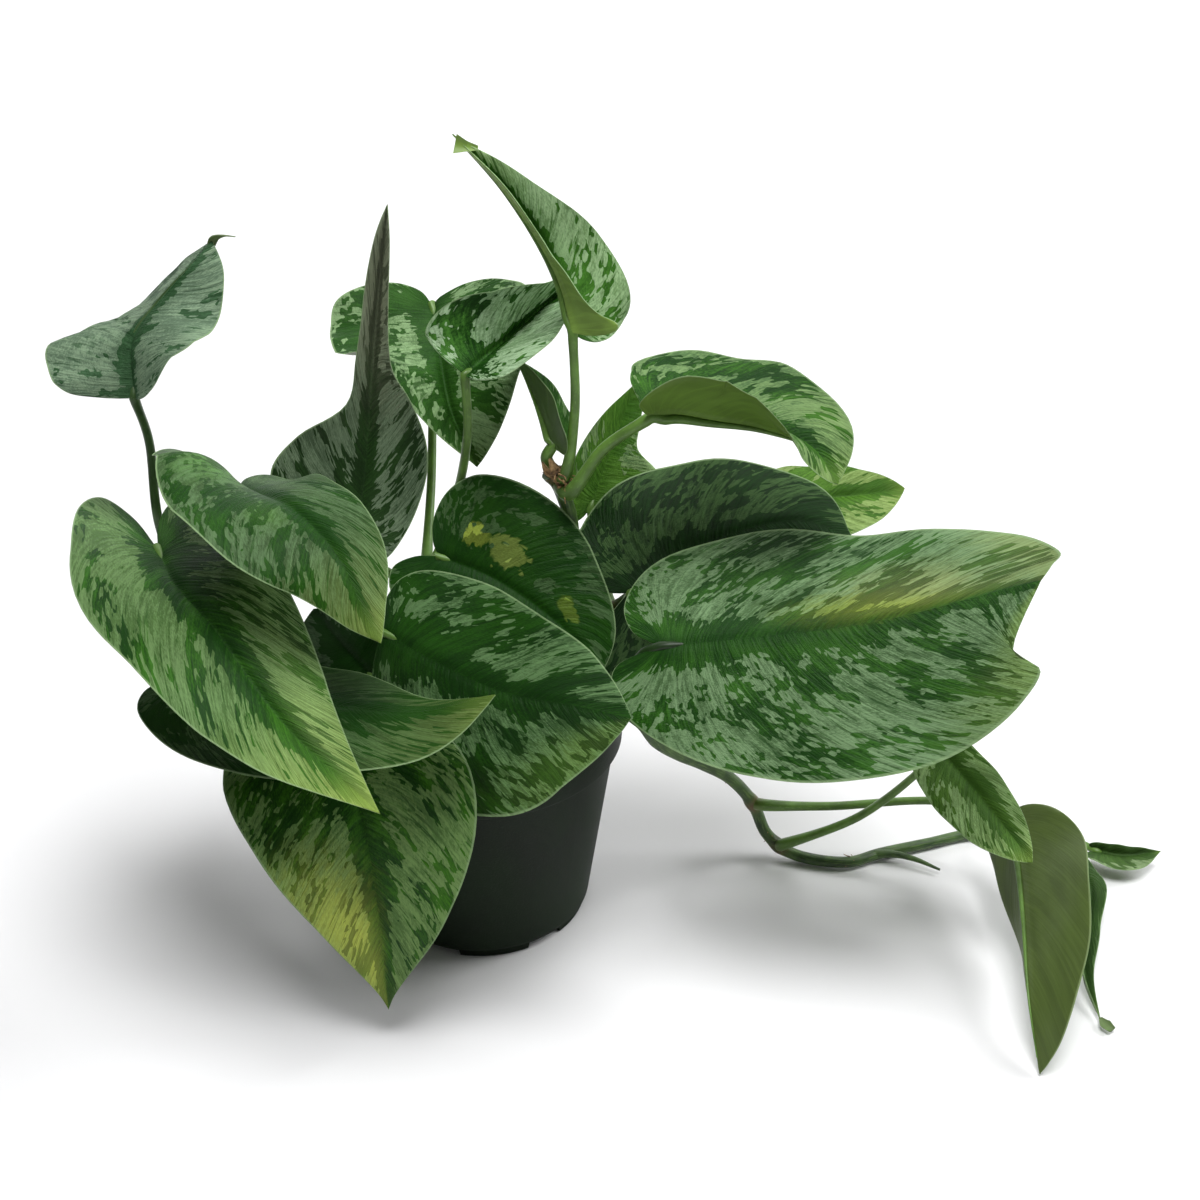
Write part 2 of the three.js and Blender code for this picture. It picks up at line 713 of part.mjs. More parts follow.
const POT_BAND_FOOT = POT_HEIGHT - POT_BAND_HEIGHT;
const POT_INSIDE_FOOT = POT_WALL_FOOT_RADIUS - POT_WALL;
const POT_INSIDE_TOP = POT_TOP_RADIUS - POT_WALL;

function lathe(profile) {
  const points = profile.map(([radius, z]) => new THREE.Vector2(radius, z));
  const turned = new THREE.LatheGeometry(points, POT_SIDES);
  turned.rotateX(Math.PI / 2);
  return turned;
}

// The pot is one moulding: a tapered wall, a stepped band round the rim and a foot ring with notches.
function potGeometry() {
  const bandRadius = POT_TOP_RADIUS + POT_BAND_STEP;
  let pot = toSolid(lathe([
    [0, 0],
    [POT_FOOT_RADIUS, 0],
    [POT_FOOT_RADIUS, POT_FOOT_HEIGHT],
    [POT_WALL_FOOT_RADIUS, POT_FOOT_HEIGHT + POT_FOOT_BEVEL],
    [POT_TOP_RADIUS, POT_BAND_FOOT],
    [bandRadius, POT_BAND_FOOT + POT_BAND_BEVEL],
    [bandRadius + POT_BAND_FLARE, POT_HEIGHT],
    [POT_TOP_RADIUS, POT_HEIGHT],
    [POT_INSIDE_TOP, POT_BAND_FOOT],
    [POT_INSIDE_FOOT, POT_FLOOR],
    [0, POT_FLOOR],
  ]));
  for (let notch = 0; notch < DRAIN_NOTCHES; notch += 1) {
    const box = new THREE.BoxGeometry(2 * DRAIN_NOTCH_DEPTH, DRAIN_NOTCH_WIDTH, 2 * DRAIN_NOTCH_HEIGHT);
    box.translate(POT_FOOT_RADIUS, 0, 0);
    box.rotateZ(2 * Math.PI * (notch + DRAIN_NOTCH_TURN) / DRAIN_NOTCHES);
    pot = pot.subtract(toSolid(box));
  }
  return toGeometry(pot);
}

// A vine, with a sheath that stands out from it where it has one.
function stemGeometry(stem) {
  const [foot, head] = stem.radius;
  const vine = tube(stem.route, foot, head, STEM_SIDES);
  if (!stem.sheath) {
    return vine;
  }
  return toGeometry(toSolid(vine).add(toSolid(tube(stem.sheath, ...SHEATH_RADII, PETIOLE_SIDES))));
}

// The soil fills the pot to a little below the rim. Its top is lumpy, and each stem has a plain hole.
function soilGeometry() {
  const topRadius = POT_INSIDE_TOP - CLEARANCE;
  const floor = POT_FLOOR + CLEARANCE;
  const profile = [[0, floor], [POT_INSIDE_FOOT - CLEARANCE, floor], [topRadius, POT_BAND_FOOT]];
  for (let ring = SOIL_RINGS; ring >= 0; ring -= 1) {
    profile.push([topRadius * ring / SOIL_RINGS, SOIL_TOP]);
  }
  const body = lathe(profile);
  const { position } = body.attributes;
  for (let index = 0; index < position.count; index += 1) {
    if (position.getZ(index) > SOIL_TOP - CLEARANCE) {
      const [x, y] = [position.getX(index), position.getY(index)];
      const lump = Math.sin(x / SOIL_LUMP) * Math.cos(y / SOIL_LUMP) + Math.sin((x - y) / SOIL_CRUMB) / 2;
      position.setZ(index, SOIL_TOP + SOIL_RELIEF * lump);
    }
  }
  let soil = toSolid(body);
  for (const stem of Object.values(STEMS)) {
    const [foot, head] = stem.radius;
    soil = soil.subtract(toSolid(tube(stem.route, foot + CLEARANCE, head + CLEARANCE, STEM_SIDES)));
  }
  return toGeometry(soil);
}

// ---------------------------------------------------------------- assembly

const plant = new THREE.Group();
plant.name = 'satin_pothos';

function addPiece(name, geometry, color, roughness) {
  const mesh = new THREE.Mesh(geometry, new THREE.MeshStandardMaterial({ color, roughness, metalness: 0 }));
  mesh.name = name;
  plant.add(mesh);
}

addPiece('pot', potGeometry(), POT_GREEN, POT_ROUGHNESS);
addPiece('soil', soilGeometry(), SOIL_BROWN, SOIL_ROUGHNESS);
for (const [name, stem] of Object.entries(STEMS)) {
  addPiece(name, stemGeometry(stem), STEM_GREEN, STEM_ROUGHNESS);
}
for (const [name, leaf] of Object.entries(LEAVES)) {
  addPiece(name, leafGeometry(leaf), leaf.color, LEAF_ROUGHNESS);
}

export default plant;
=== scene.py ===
"""The looks of a satin pothos in its nursery pot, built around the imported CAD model.

Sizes in the tables are millimetres in the model's own frame: +Z is up and the origin is the middle of
the pot's underside. Meshes are made in millimetres and scaled to metres when they become objects.
"""

import math

import bpy
import numpy as np
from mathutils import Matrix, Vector


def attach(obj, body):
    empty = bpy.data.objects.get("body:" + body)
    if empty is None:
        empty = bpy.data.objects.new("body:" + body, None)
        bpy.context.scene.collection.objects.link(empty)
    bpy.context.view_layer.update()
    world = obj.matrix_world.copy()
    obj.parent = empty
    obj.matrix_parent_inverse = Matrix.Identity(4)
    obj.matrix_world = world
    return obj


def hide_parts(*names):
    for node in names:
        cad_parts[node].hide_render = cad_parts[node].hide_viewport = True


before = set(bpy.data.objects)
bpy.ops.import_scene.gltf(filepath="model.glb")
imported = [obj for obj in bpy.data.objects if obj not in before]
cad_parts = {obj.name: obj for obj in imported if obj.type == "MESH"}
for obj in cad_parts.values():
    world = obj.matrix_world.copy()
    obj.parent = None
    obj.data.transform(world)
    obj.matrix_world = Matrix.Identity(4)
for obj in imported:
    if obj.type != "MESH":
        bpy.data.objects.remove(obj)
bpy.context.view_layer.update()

MM = 0.001
CM = 0.1
FULL_TURN = 2 * math.pi

# -------------------- sizes of the pot and the soil

POT_HEIGHT = 96.0
POT_FOOT_RADIUS = 40.5
POT_WALL_FOOT_RADIUS = 42.0
POT_FOOT_HEIGHT = 4.0
POT_TOP_RADIUS = 52.5
POT_WALL = 1.6
POT_BAND_HEIGHT = 20.0
POT_BAND_STEP = 2.6
POT_BAND_FLARE = 1.0
POT_FLOOR = 3.0
POT_SIDES = 144
DRAIN_NOTCHES = 6
DRAIN_NOTCH_WIDTH = 15.0
DRAIN_NOTCH_HEIGHT = 2.4
DRAIN_NOTCH_DEPTH = 3.0
DRAIN_NOTCH_TURN = 0.15
SOIL_TOP = 80.0
SOIL_GAP = 0.3
SOIL_SIDES = 120
SOIL_CRUMBS = 420
STEM_CLEARANCE = 5.0

# -------------------- leaf blades, petioles and vines

BLADE_ROWS = 66
BLADE_COLUMNS = 18
COLUMN_CROWDING = 1.5
BLADE_THICKNESS = 0.62
MARGIN_THICKNESS = 0.16
VEIN_SWEEP = 1.3
WAVE_LAG = 0.37
SIDE_VEIN_SPACING = 11.0
SIDE_VEIN_RELIEF = 0.22
MIDRIB_GROOVE = 0.9
MIDRIB_GROOVE_WIDTH = 1.7
MIDRIB_LAST_RADIUS = 0.25
MIDRIB_REACH = 0.95
MIDRIB_STEPS = 40
RIBBON_ROWS = 14
RIBBON_COLUMNS = 7
RIBBON_DISH = 0.35
SWELL_SIZE = 0.7
SWELL_LENGTH = 34.0
# How long a leaf's pattern is for each millimetre of its midrib.
PATTERN_STRETCH = 1.25
# How fast the pattern's veins lean towards the tip, and how far out that has doubled.
VEIN_LEAN = 0.42
VEIN_BEND = 80.0

PETIOLE_STEP = 2.2
PETIOLE_DROP = 0.7
# How far a petiole goes on from its foot towards the middle of its vine.
PETIOLE_ROOTING = 0.75
PETIOLE_RADII = [1.9, 1.5]
PETIOLE_GROOVE = 0.16
PETIOLE_HEAD_SWELL = 0.18
PETIOLE_HEAD_LENGTH = 5.0
SHEATH_SWELL = 0.35
SHEATH_LENGTH = 14.0
# Radii at the two ends of the sheath that a shed leaf leaves on its vine.
SHEATH_RADII = [2.0, 0.5]
STEM_STEP = 1.6
NODE_SWELL = 0.28
NODE_LENGTH = 3.2
NODE_REACH = 9.0
SHEATH_ROWS = 24
THREAD_ROWS = 9

# Where on the midrib the side veins start, from base to tip, in shares of its length.
VEIN_FEET = [0, 0, 0, 0.02, 0.08, 0.17, 0.3, 0.44, 0.58, 0.73, 0.88, 1]

# Half a blade laid flat, from its base to its tip: how far each side vein's end is along the midrib
# and how far out from it, in shares of the blade's length and half width. Each starts at the blade's
# base, [0, 0], and ends at its tip, [1, 0].
HEART = [
    [-0.08, 0.12], [-0.14, 0.36], [-0.11, 0.66], [0.02, 0.9], [0.2, 1], [0.4, 0.96], [0.58, 0.79],
    [0.74, 0.54], [0.87, 0.27], [0.95, 0.1],
]
# A blade with shallow lobes and a broad tip.
BLUNT = [
    [-0.05, 0.12], [-0.09, 0.36], [-0.06, 0.64], [0.06, 0.88], [0.24, 1], [0.44, 0.99], [0.62, 0.88],
    [0.78, 0.66], [0.9, 0.38], [0.97, 0.14],
]
# A blade without lobes at its base.
NARROW_FOOT = [
    [0, 0.2], [0.03, 0.44], [0.1, 0.7], [0.2, 0.9], [0.32, 1], [0.47, 0.99], [0.63, 0.87], [0.78, 0.65],
    [0.9, 0.38], [0.97, 0.14],
]
# A blade that narrows early to a long point.
POINTED = [
    [-0.08, 0.12], [-0.13, 0.36], [-0.1, 0.66], [0.02, 0.9], [0.18, 1], [0.37, 0.94], [0.54, 0.74],
    [0.71, 0.47], [0.85, 0.22], [0.94, 0.07],
]
# The same with a slimmer middle.
TAPERED = [
    [-0.08, 0.12], [-0.13, 0.36], [-0.1, 0.66], [0.02, 0.92], [0.16, 1], [0.31, 0.9], [0.46, 0.68],
    [0.63, 0.45], [0.8, 0.24], [0.92, 0.08],
]
# A pointed blade that widens slowly, without a lobe.
SLOW_FOOT = [
    [0.02, 0.1], [0.06, 0.24], [0.11, 0.42], [0.17, 0.62], [0.25, 0.82], [0.36, 0.93], [0.54, 0.74],
    [0.71, 0.47], [0.85, 0.22], [0.94, 0.07],
]
# A blade with no lobe and its widest place low down, where it starts to roll back.
HOODED = [
    [0, 0.2], [0.01, 0.42], [0.04, 0.66], [0.1, 0.82], [0.17, 0.93], [0.24, 1.01], [0.28, 0.76], [0.38, 0.72],
    [0.56, 0.74], [0.8, 0.48],
]
# A blade with long, broad lobes at its base.
BROAD_LOBE = [
    [-0.17, 0.1], [-0.3, 0.34], [-0.31, 0.66], [-0.18, 0.92], [0.04, 1], [0.26, 0.97], [0.48, 0.83],
    [0.68, 0.6], [0.85, 0.3], [0.95, 0.1],
]
# A blade whose last two thirds narrow to a rolled tip.
LONG_TIP = [
    [-0.08, 0.2], [-0.06, 0.6], [0.06, 0.92], [0.2, 1], [0.31, 0.76], [0.41, 0.27], [0.56, 0.22],
    [0.75, 0.21], [0.88, 0.16], [0.95, 0.09],
]
# The same, with its widest place further on.
LATE_TIP = [
    [-0.08, 0.2], [-0.06, 0.55], [0.04, 0.77], [0.15, 0.93], [0.26, 1], [0.36, 0.89], [0.45, 0.67],
    [0.54, 0.35], [0.72, 0.26], [0.9, 0.17],
]
# A blade that narrows all the way from a pointed lobe.
SPIKED_LOBE = [
    [-0.1, 0.25], [-0.17, 0.6], [-0.18, 0.9], [-0.09, 1], [0.03, 0.8], [0.15, 0.56], [0.3, 0.42],
    [0.48, 0.33], [0.68, 0.24], [0.86, 0.12],
]
# A blade whose last fifth is torn off, on the half that keeps a long corner.
TORN_LEFT = [
    [-0.08, 0.14], [-0.11, 0.42], [-0.04, 0.74], [0.14, 0.97], [0.36, 1], [0.58, 0.87], [0.78, 0.77],
    [0.98, 0.55], [1.07, 0.26], [1.04, 0.13],
]
# The other half of the torn blade, with the notch.
TORN_RIGHT = [
    [-0.12, 0.1], [-0.14, 0.27], [-0.09, 0.49], [0.03, 0.71], [0.2, 0.89], [0.42, 0.99], [0.64, 0.96],
    [0.83, 0.79], [0.94, 0.56], [0.89, 0.38],
]

# Each vine: the points of its route, its radius at the two ends, the sheath of a shed leaf beside it,
# its tufts of dried threads (middle, reach, number of threads and their radius) and the dried sheaths
# that still wrap it (points, widths and the way the ribbon faces).
STEMS = {
    "upright": dict(
        route=[[28, 18, 74], [32, 16, 100], [36, 14, 135], [36, 10, 163], [33, 7, 176], [30, 6, 184]],
        radius=[3.2, 2.6], tufts=[([33, 0, 186], 7, 30, 0.4), ([34, 0, 182], 6, 20, 0.45)],
        dried=[
            ([[34, 1, 179], [33, 0, 183], [31, 0, 188], [29, 0.5, 192]], [2, 4, 4.5, 0.8], [0, -0.95, 0.3]),
            ([[31, 1, 184], [28, 0, 188], [26.5, 0, 191]], [2, 3, 0.6], [-0.4, -0.9, 0.2]),
        ],
    ),
    "trailing": dict(
        route=[
            [30, -16, 74], [38, -18, 94], [50, -20, 103], [61, -20, 96], [68, -12, 81], [77, -2, 68],
            [87, 7, 57], [99, 15, 44], [109, 20, 28], [116, 21, 11], [126, 18, 3.8], [148, 13, 3.1],
            [163, 19, 3], [184, 26, 2.8], [203, 32, 2.8], [222, 30, 3], [236, 22, 4],
        ],
        radius=[3, 2], sheath=[[160, 18, 3.4], [169, 17, 4], [177, 14, 3.6], [186, 9, 2.4]],
        tufts=[([98, 15, 45], 3.5, 6, 0.3), ([116, 21, 11], 3.5, 8, 0.3), ([150, 14, 4.5], 3.5, 6, 0.3)],
        dried=[([[234, 21, 6.2], [239, 16, 7.6], [243, 12, 8.2]], [2.5, 4.5, 1.2], [0, -0.5, 0.85])],
    ),
    "left": dict(
        route=[
            [-28, -2, 74], [-40, -5, 95], [-55, -8, 106], [-75, -10, 114], [-92, -10, 122], [-103, -8, 134],
        ],
        radius=[3, 2.4],
    ),
    "centre": dict(
        route=[[-8, 12, 74], [-10, 12, 100], [-14, 12, 125], [-17, 12, 145]], radius=[3, 2.5],
    ),
    "front": dict(
        route=[[-14, -22, 74], [-18, -26, 92], [-25, -30, 104], [-33, -30, 108]], radius=[2.8, 2.4],
    ),
    "back": dict(
        route=[[24, 28, 74], [36, 30, 98], [56, 32, 116], [76, 36, 132]], radius=[2.8, 2.4],
    ),
}

# Each leaf. Its shape: the points of its midrib from base to tip, the ways that its upper side faces
# along that, its width as twice each half's, the half's outline, how far its base lobe is drawn out,
# the degrees by which it folds up at the midrib and curls at the margin, the margin's wave (height,
# number and start), its petiole's points and, for a few, the petiole's radii and a curled drip tip (a
# ribbon's points, widths and the way it faces). A tuple of two holds the left half's value and the
# right's.
# Its colours: greens from dark to light, two for the ground and two for the silver, each leaf's set lighter
# or darker as painted light and shade for how brightly that leaf is lit, the share that the silver covers,
# how fresh the tip is, the width of the dark band beside the midrib, how far painted shade darkens the
# midrib towards its base, tints of the petiole and the underside, and patches: where each lies along the
# blade and out from the midrib, how far it reaches both ways, its strength and its tint.
LEAVES = {
    "far_left": dict(
        midrib=[[-113, 0, 215], [-113, 6, 233], [-104, 14, 245], [-90, 22, 258], [-86, 26, 262]],
        faces=[[0.1, -0.9, 0.4]], width=(61, 54), outline=(HOODED, NARROW_FOOT),
        fold=([0, 0, -20, -60, -71, -73, -72, -66, -60], [60, 50, 40, 10, 0]), wave=(1, 2.5, 0),
        petiole=[[-106, 2, 138], [-113, 8, 163], [-112, 7, 196]],
        greens_as_lit=("#2a4a2b", "#3f6140", "#5c735b", "#758c70"), cover=0.7, band=0.45, stalk="#3d5a2c",
        curled_tip=(
            [[-86.5, 26, 261], [-85, 26, 263.5], [-82, 26, 264], [-78, 27, 263.2]], [3, 3.4, 0.7, 0.2],
            [0, -0.7, -0.7],
        ),
    ),
    "left_folded": dict(
        midrib=[[-77, -14, 187], [-54, -46, 197], [-37, -64, 189], [-27, -78, 174], [-22, -84, 168]],
        faces=[[0.1, 0.3, 0.95], [-0.1, -0.4, 0.9], [-0.3, -0.75, 0.4]], width=(38, 70),
        outline=(BLUNT, BROAD_LOBE), lobes=(1, 0.6), fold=([30, -5, -15], [62, 25, 12, 5, 0]),
        curl=([-30, -10, 0], [-85, -30, -10, 0, 0]), wave=(1.2, 3, 0.17),
        petiole=[[-83, -4, 123], [-78, 0, 150], [-75, -3, 172]],
        greens_as_lit=("#153c0a", "#234c0e", "#38522c", "#4f6b44"), cover=0.64, tips=0.5, band=0.5, midrib_shade=0.2,
        patches=[(0.06, 0.42, 0.14, 0.5, 0.7, "#528436"), (0.4, 0.3, 0.1, 0.25, 0.5, "#4f7c30")],
    ),
    "left_large": dict(
        midrib=[
            [-109, -12, 164], [-98, -36, 163], [-80, -58, 157], [-62, -76, 141], [-50, -88, 134],
            [-23, -106, 118],
        ],
        faces=[[0.1, -0.3, 0.95], [0.1, -0.6, 0.8]], width=(57, 66), lobes=(1.2, 2.05), fold=12,
        wave=(1.8, 2, 0.34), petiole=[[-97, -15, 129], [-104, -11, 145], [-109, -6, 156]],
        greens_as_lit=("#153c0a", "#336319", "#4a6a36", "#64834f"), cover=0.62, tips=0.9, band=0.8, midrib_shade=0.1,
        patches=[(0.75, -0.6, 0.4, 0.5, 0.45, "#9cba70")],
    ),
    "left_under": dict(
        midrib=[[-97, -40, 128], [-63, -56, 128], [-39, -66, 133], [-12, -76, 137], [13, -80, 146]],
        faces=[[0, -0.45, 0.9]], width=(48, 62), outline=(HEART, BLUNT), fold=([-10, -46], 5),
        wave=(1.2, 2.5, 0.51), petiole=[[-76, -15, 111], [-88, -24, 112], [-95, -34, 120]],
        greens_as_lit=("#153c0a", "#193b0b", "#2b4521", "#3f5b33"), cover=0.54, tips=0.3, band=0.75,
    ),
    "front_hanging": dict(
        midrib=[[-50, -40, 120], [-41, -61, 109], [-34, -76, 94], [-30, -85, 62], [-29, -85, 15]],
        faces=[[0, -0.9, 0.4]], width=(88, 84), outline=(SLOW_FOOT, POINTED), lobes=0.6, fold=8,
        wave=(1.8, 3, 0.68), petiole=[[-34, -30, 109], [-42, -32, 114]],
        greens_as_lit=("#153c0a", "#386a15", "#50713a", "#6a8a4e"), cover=0.56, tips=0.1,
        patches=[(0.78, 0.62, 0.36, 0.8, 1, "#bac655")],
    ),
    "between": dict(
        midrib=[[-37, -13, 110], [-44, -15, 121], [-50, -17, 132], [-55, -18, 142]], faces=[[0, -0.92, 0.4]],
        width=(40, 34), outline=BLUNT, lobes=0.6, fold=6, wave=(1, 2, 0.3),
        petiole=[[-36, -10, 97], [-36, -11, 103]], greens_as_lit=("#153c0a", "#16300f", "#2f452a", "#41573b"),
        cover=0.45,
    ),
    "front_right": dict(
        midrib=[[-30, -26, 137], [-4, -45, 133], [16, -58, 132], [38, -68, 134], [57, -74, 133]],
        faces=[[-0.1, -0.95, 0.3], [-0.1, -0.85, 0.5]], width=(64, 92), outline=(BLUNT, NARROW_FOOT),
        lobes=(0.6, 1), fold=(-20, 0), wave=(1.6, 2, 0.85), petiole=[[-22, -23, 107], [-28, -21, 122]],
        greens_as_lit=("#103207", "#1e470c", "#39572f", "#58784b"), cover=0.52, band=0.85,
        patches=[(0.85, 0.85, 0.35, 0.4, 0.35, "#84a848")],
    ),
    "right_torn": dict(
        midrib=[[68, -30, 134], [98, -36, 141], [140, -42, 151], [180, -44, 164], [194, -44, 168]],
        faces=[[0, -0.7, 0.7]], width=(94, 106), outline=(TORN_LEFT, TORN_RIGHT), fold=([-20, -34], -3),
        wave=(2, 2.5, 0.02), petiole=[[52, -23, 106], [58, -26, 122], [62, -28, 130]],
        # Its near-black petiole tint is painted shade, for where the petiole rises into the shaded sinus.
        greens_as_lit=("#153c0a", "#315f1a", "#4b6940", "#6d8b61"), cover=0.56, band=0.8, midrib_shade=0.6, stalk="#1f3813",
        patches=[
            (0.6, -0.2, 0.3, 0.22, 0.85, "#8a9c2e"), (0.75, -0.4, 0.32, 0.34, 0.5, "#a3ab66"),
            (1.02, -0.9, 0.2, 0.5, 0.45, "#98a45e"), (0.95, 0.9, 0.3, 0.35, 0.5, "#7f9c45"),
        ],
    ),
    "right_back": dict(
        midrib=[[58, 8, 134], [84, 20, 147], [121, 25, 155], [140, 14, 153]], faces=[[0, -0.4, 0.9]],
        width=(76, 92), lobes=(0.9, 2.2), fold=(8, [-62, -50, -20, 8]), wave=(1.4, 3, 0.19),
        petiole=[[49, 24, 107], [54, 14, 121]], greens_as_lit=("#0b2706", "#12340a", "#27411e", "#3a562d"),
        cover=0.5,
    ),
    "spotted": dict(
        midrib=[[-12, 3, 152], [8, -6, 148], [26, -14, 139], [39, -21, 129], [45, -26, 114]],
        faces=[[0, -0.85, 0.5]], width=(70, 56), lobes=(0.6, 1.3), fold=5, wave=(1.4, 2, 0.36),
        petiole=[[-7, 7, 112], [-9, 5, 135]], greens_as_lit=("#153c0a", "#1d440b", "#2b4621", "#415e36"), cover=0.44,
        patches=[
            (0.14, -0.35, 0.06, 0.12, 1, "#a4b74a"), (0.3, -0.3, 0.08, 0.16, 1, "#a3b85a"),
            (0.65, -0.35, 0.06, 0.14, 0.9, "#8ba83c"),
        ],
    ),
    "upright": dict(
        midrib=[[-43, 7, 156], [-39, 17, 175], [-36, 24, 201], [-32, 30, 234], [-26, 32, 273]],
        faces=[[0, -0.97, 0.25]], width=(66, 46), outline=(LONG_TIP, LATE_TIP), lobes=(1, 0.6),
        fold=([5, 20, 50, 52], [5, 10, 42, 55]), wave=(1.2, 2.5, 0.53),
        petiole=[[-20, 15, 132], [-33, 9, 143]], greens_as_lit=("#193012", "#24401a", "#4c5f46", "#66795e"),
        cover=0.64, band=0.45, midrib_shade=0.1, patches=[(0.8, 0, 0.42, 2.2, 1, "#979c82")],
    ),
    "back_hanging": dict(
        midrib=[[-17, 76, 221], [-13, 56, 208], [-8, 37, 194], [2, 21, 179]],
        faces=[[0, -0.8, 0.6], [0, -0.9, 0.45]], width=(82, 79), outline=(BLUNT, BROAD_LOBE),
        lobes=(0.8, 0.6), fold=([10, 30, 20], [0, 8, 55, 60, 60]), wave=(1.6, 3, 0.7),
        petiole=[[-18, 19, 140], [-18, 52, 163], [-18, 78, 203]],
        greens_as_lit=("#1f4511", "#305a1c", "#5c7a4d", "#7c9a6b"), cover=0.54, tips=0.1,
    ),
    "middle": dict(
        midrib=[[0, 10, 220], [14, 25, 227], [29, 39, 236], [42, 48, 241]], faces=[[0.2, -0.65, 0.7]],
        width=(46, 54), lobes=(0.2, 0.4), fold=([0, 60, 82, 82], 54), wave=(1, 2, 0.87),
        petiole=[[-14, 18, 143], [-7, 22, 163], [0, 10, 198]],
        greens_as_lit=("#153c0a", "#42752b", "#7c9d70", "#a1be96"), cover=0.66, band=0.5,
    ),
    "top": dict(
        midrib=[[38, 0, 239], [33, 8, 256], [17, 18, 280], [-2, 24, 299]], faces=[[0.6, -0.43, 0.68]],
        width=(38, 42), outline=(SPIKED_LOBE, TAPERED), lobes=(0.3, 0.5),
        fold=([90, 45, 45, 45], [22, 70, 82]), wave=(1.4, 2.5, 0.04), petiole=[[34, 0, 185], [38, 0, 210]],
        greens_as_lit=("#305d1b", "#457828", "#769963", "#98b886"), cover=0.72, tips=0.4, band=0.4, under="#7b9c42",
        curled_tip=([[6.4, 22, 294.9], [2.5, 22, 295.4], [-1.2, 22, 296.2]], [1.5, 3.5, 6.4], [0, -0.9, 0.4]),
    ),
    "arching": dict(
        midrib=[[64, -5, 211], [72, -2, 211], [85, 0, 208], [103, -3, 206], [119, -8, 201], [128, -16, 190]],
        faces=[[0, 0.18, 0.98], [0, 0.18, 0.98], [0.75, -0.3, 0.5]], width=56, outline=BLUNT, lobes=(0.3, 1),
        fold=([37, 41, 41], [41, 35, -10]), wave=(1, 3, 0.21), petiole=[[36, -2, 180], [48, -4, 198]],
        petiole_radius=[2.4, 2], greens_as_lit=("#153c0a", "#3a691c", "#507042", "#6f8d58"), cover=0.5, tips=0.2,
        under="#61802f",
    ),
    "behind_arch": dict(
        midrib=[[43, 51, 147], [49, 58, 163], [55, 64, 178], [61, 70, 192]], faces=[[0, -0.8, 0.6]],
        width=(24, 56), outline=(HEART, LATE_TIP), fold=8, wave=(1, 2, 0.38),
        petiole=[[50, 37, 114], [46, 46, 128]], greens_as_lit=("#3a631d", "#537c2c", "#507042", "#78935f"),
        cover=0.42, tips=0.1,
    ),
    "right_tip": dict(
        midrib=[[111, 40, 157], [127, 42, 156], [146, 43, 157], [163, 44, 159]], faces=[[0, -0.6, 0.8]],
        width=(26, 38), outline=BLUNT, fold=8, wave=(1, 2.5, 0.55), petiole=[[78, 37, 136], [95, 38, 150]],
        greens_as_lit=("#3c641c", "#527c28", "#708c48", "#86a05e"), cover=0.5, tips=0.3,
    ),
    "trailing_small": dict(
        midrib=[[177, -2, 71], [189, -17, 62], [199, -31, 54], [207, -42, 47]], faces=[[-0.2, -0.6, 0.75]],
        width=(21, 34), outline=BLUNT, fold=10, wave=(1.2, 3, 0.72),
        petiole=[[122, 16, 10], [150, 8, 30], [172, 0, 60]],
        greens_as_lit=("#385c1b", "#4f752a", "#6a8a4e", "#86a66a"), cover=0.66, tips=0.4,
    ),
    "trailing_large": dict(
        midrib=[[206, -2, 38], [208, -20, 34], [205, -52, 27], [201, -84, 17], [202, -103, 1.5]],
        faces=[[0.8, 0.25, -0.54]], width=(32, 60), outline=(HEART, NARROW_FOOT), fold=([5, 35, 60], 5),
        wave=(1.6, 2, 0.89), petiole=[[114, 16, 30], [140, 18, 28], [182, 12, 35]],
        greens_as_lit=("#153c0a", "#306018", "#507042", "#72925e"), cover=0.55, tips=0.3, under="#4f622a",
    ),
    "trailing_rolled": dict(
        midrib=[[252, 17, 6], [261, 13, 7], [277, 14, 8]], faces=[[0, -0.5, 0.85]], width=(8, 22),
        fold=[40, 20], wave=(0.5, 2.5, 0.06), petiole=[[243, 25, 5], [249, 21, 5]], petiole_radius=[1.6, 1.2],
        greens_as_lit=("#2a441a", "#3f5c28", "#507042", "#768c62"), cover=0.6, tips=0.2,
    ),
    "trailing_end": dict(
        midrib=[[242, 2, 6], [242, -10, 8], [234, -36, 6], [229, -58, 4], [230, -77, 2]],
        faces=[[0.3, 0, 0.9]], width=(13, 20), fold=50, wave=(0.8, 3, 0.23),
        petiole=[[228, 22, 6], [235, 14, 7], [240, 7, 7]], petiole_radius=[1.6, 1.2],
        greens_as_lit=("#2a461a", "#3c5a26", "#507042", "#5d7a48"), cover=0.5, tips=0.2,
        curled_tip=([[230, -76, 2.2], [231, -79, 1.9], [233, -82, 1.7]], [1.2, 4.5, 3], [0, -0.3, 0.95]),
    ),
    "young_folded": dict(
        midrib=[[31, 4, 196], [28, 8, 204], [23, 14, 214], [17, 20, 222]], faces=[[0.8, -0.15, 0.55]],
        width=(26, 18), fold=45, wave=(0.5, 2, 0), petiole=[[29, 5, 187], [28, 4, 191]],
        greens_as_lit=("#153c0a", "#40702a", "#507042", "#72925e"), cover=0.5, tips=0.2, under="#47632b",
    ),
}

# -------------------- curves and meshes


def spread(values, shares):
    """The values, taken as evenly spaced, at the given shares of the way through them."""
    values = np.atleast_1d(np.asarray(values, float))
    if len(values) == 1:
        return np.full(np.shape(shares), values[0])
    return np.interp(shares, np.linspace(0, 1, len(values)), values)


def spread_vectors(vectors, shares):
    vectors = np.asarray(vectors, float)
    return np.stack([spread(vectors[:, axis], shares) for axis in range(3)], -1)


def unit(vectors):
    return vectors / np.maximum(np.linalg.norm(vectors, axis=-1, keepdims=True), 1e-12)


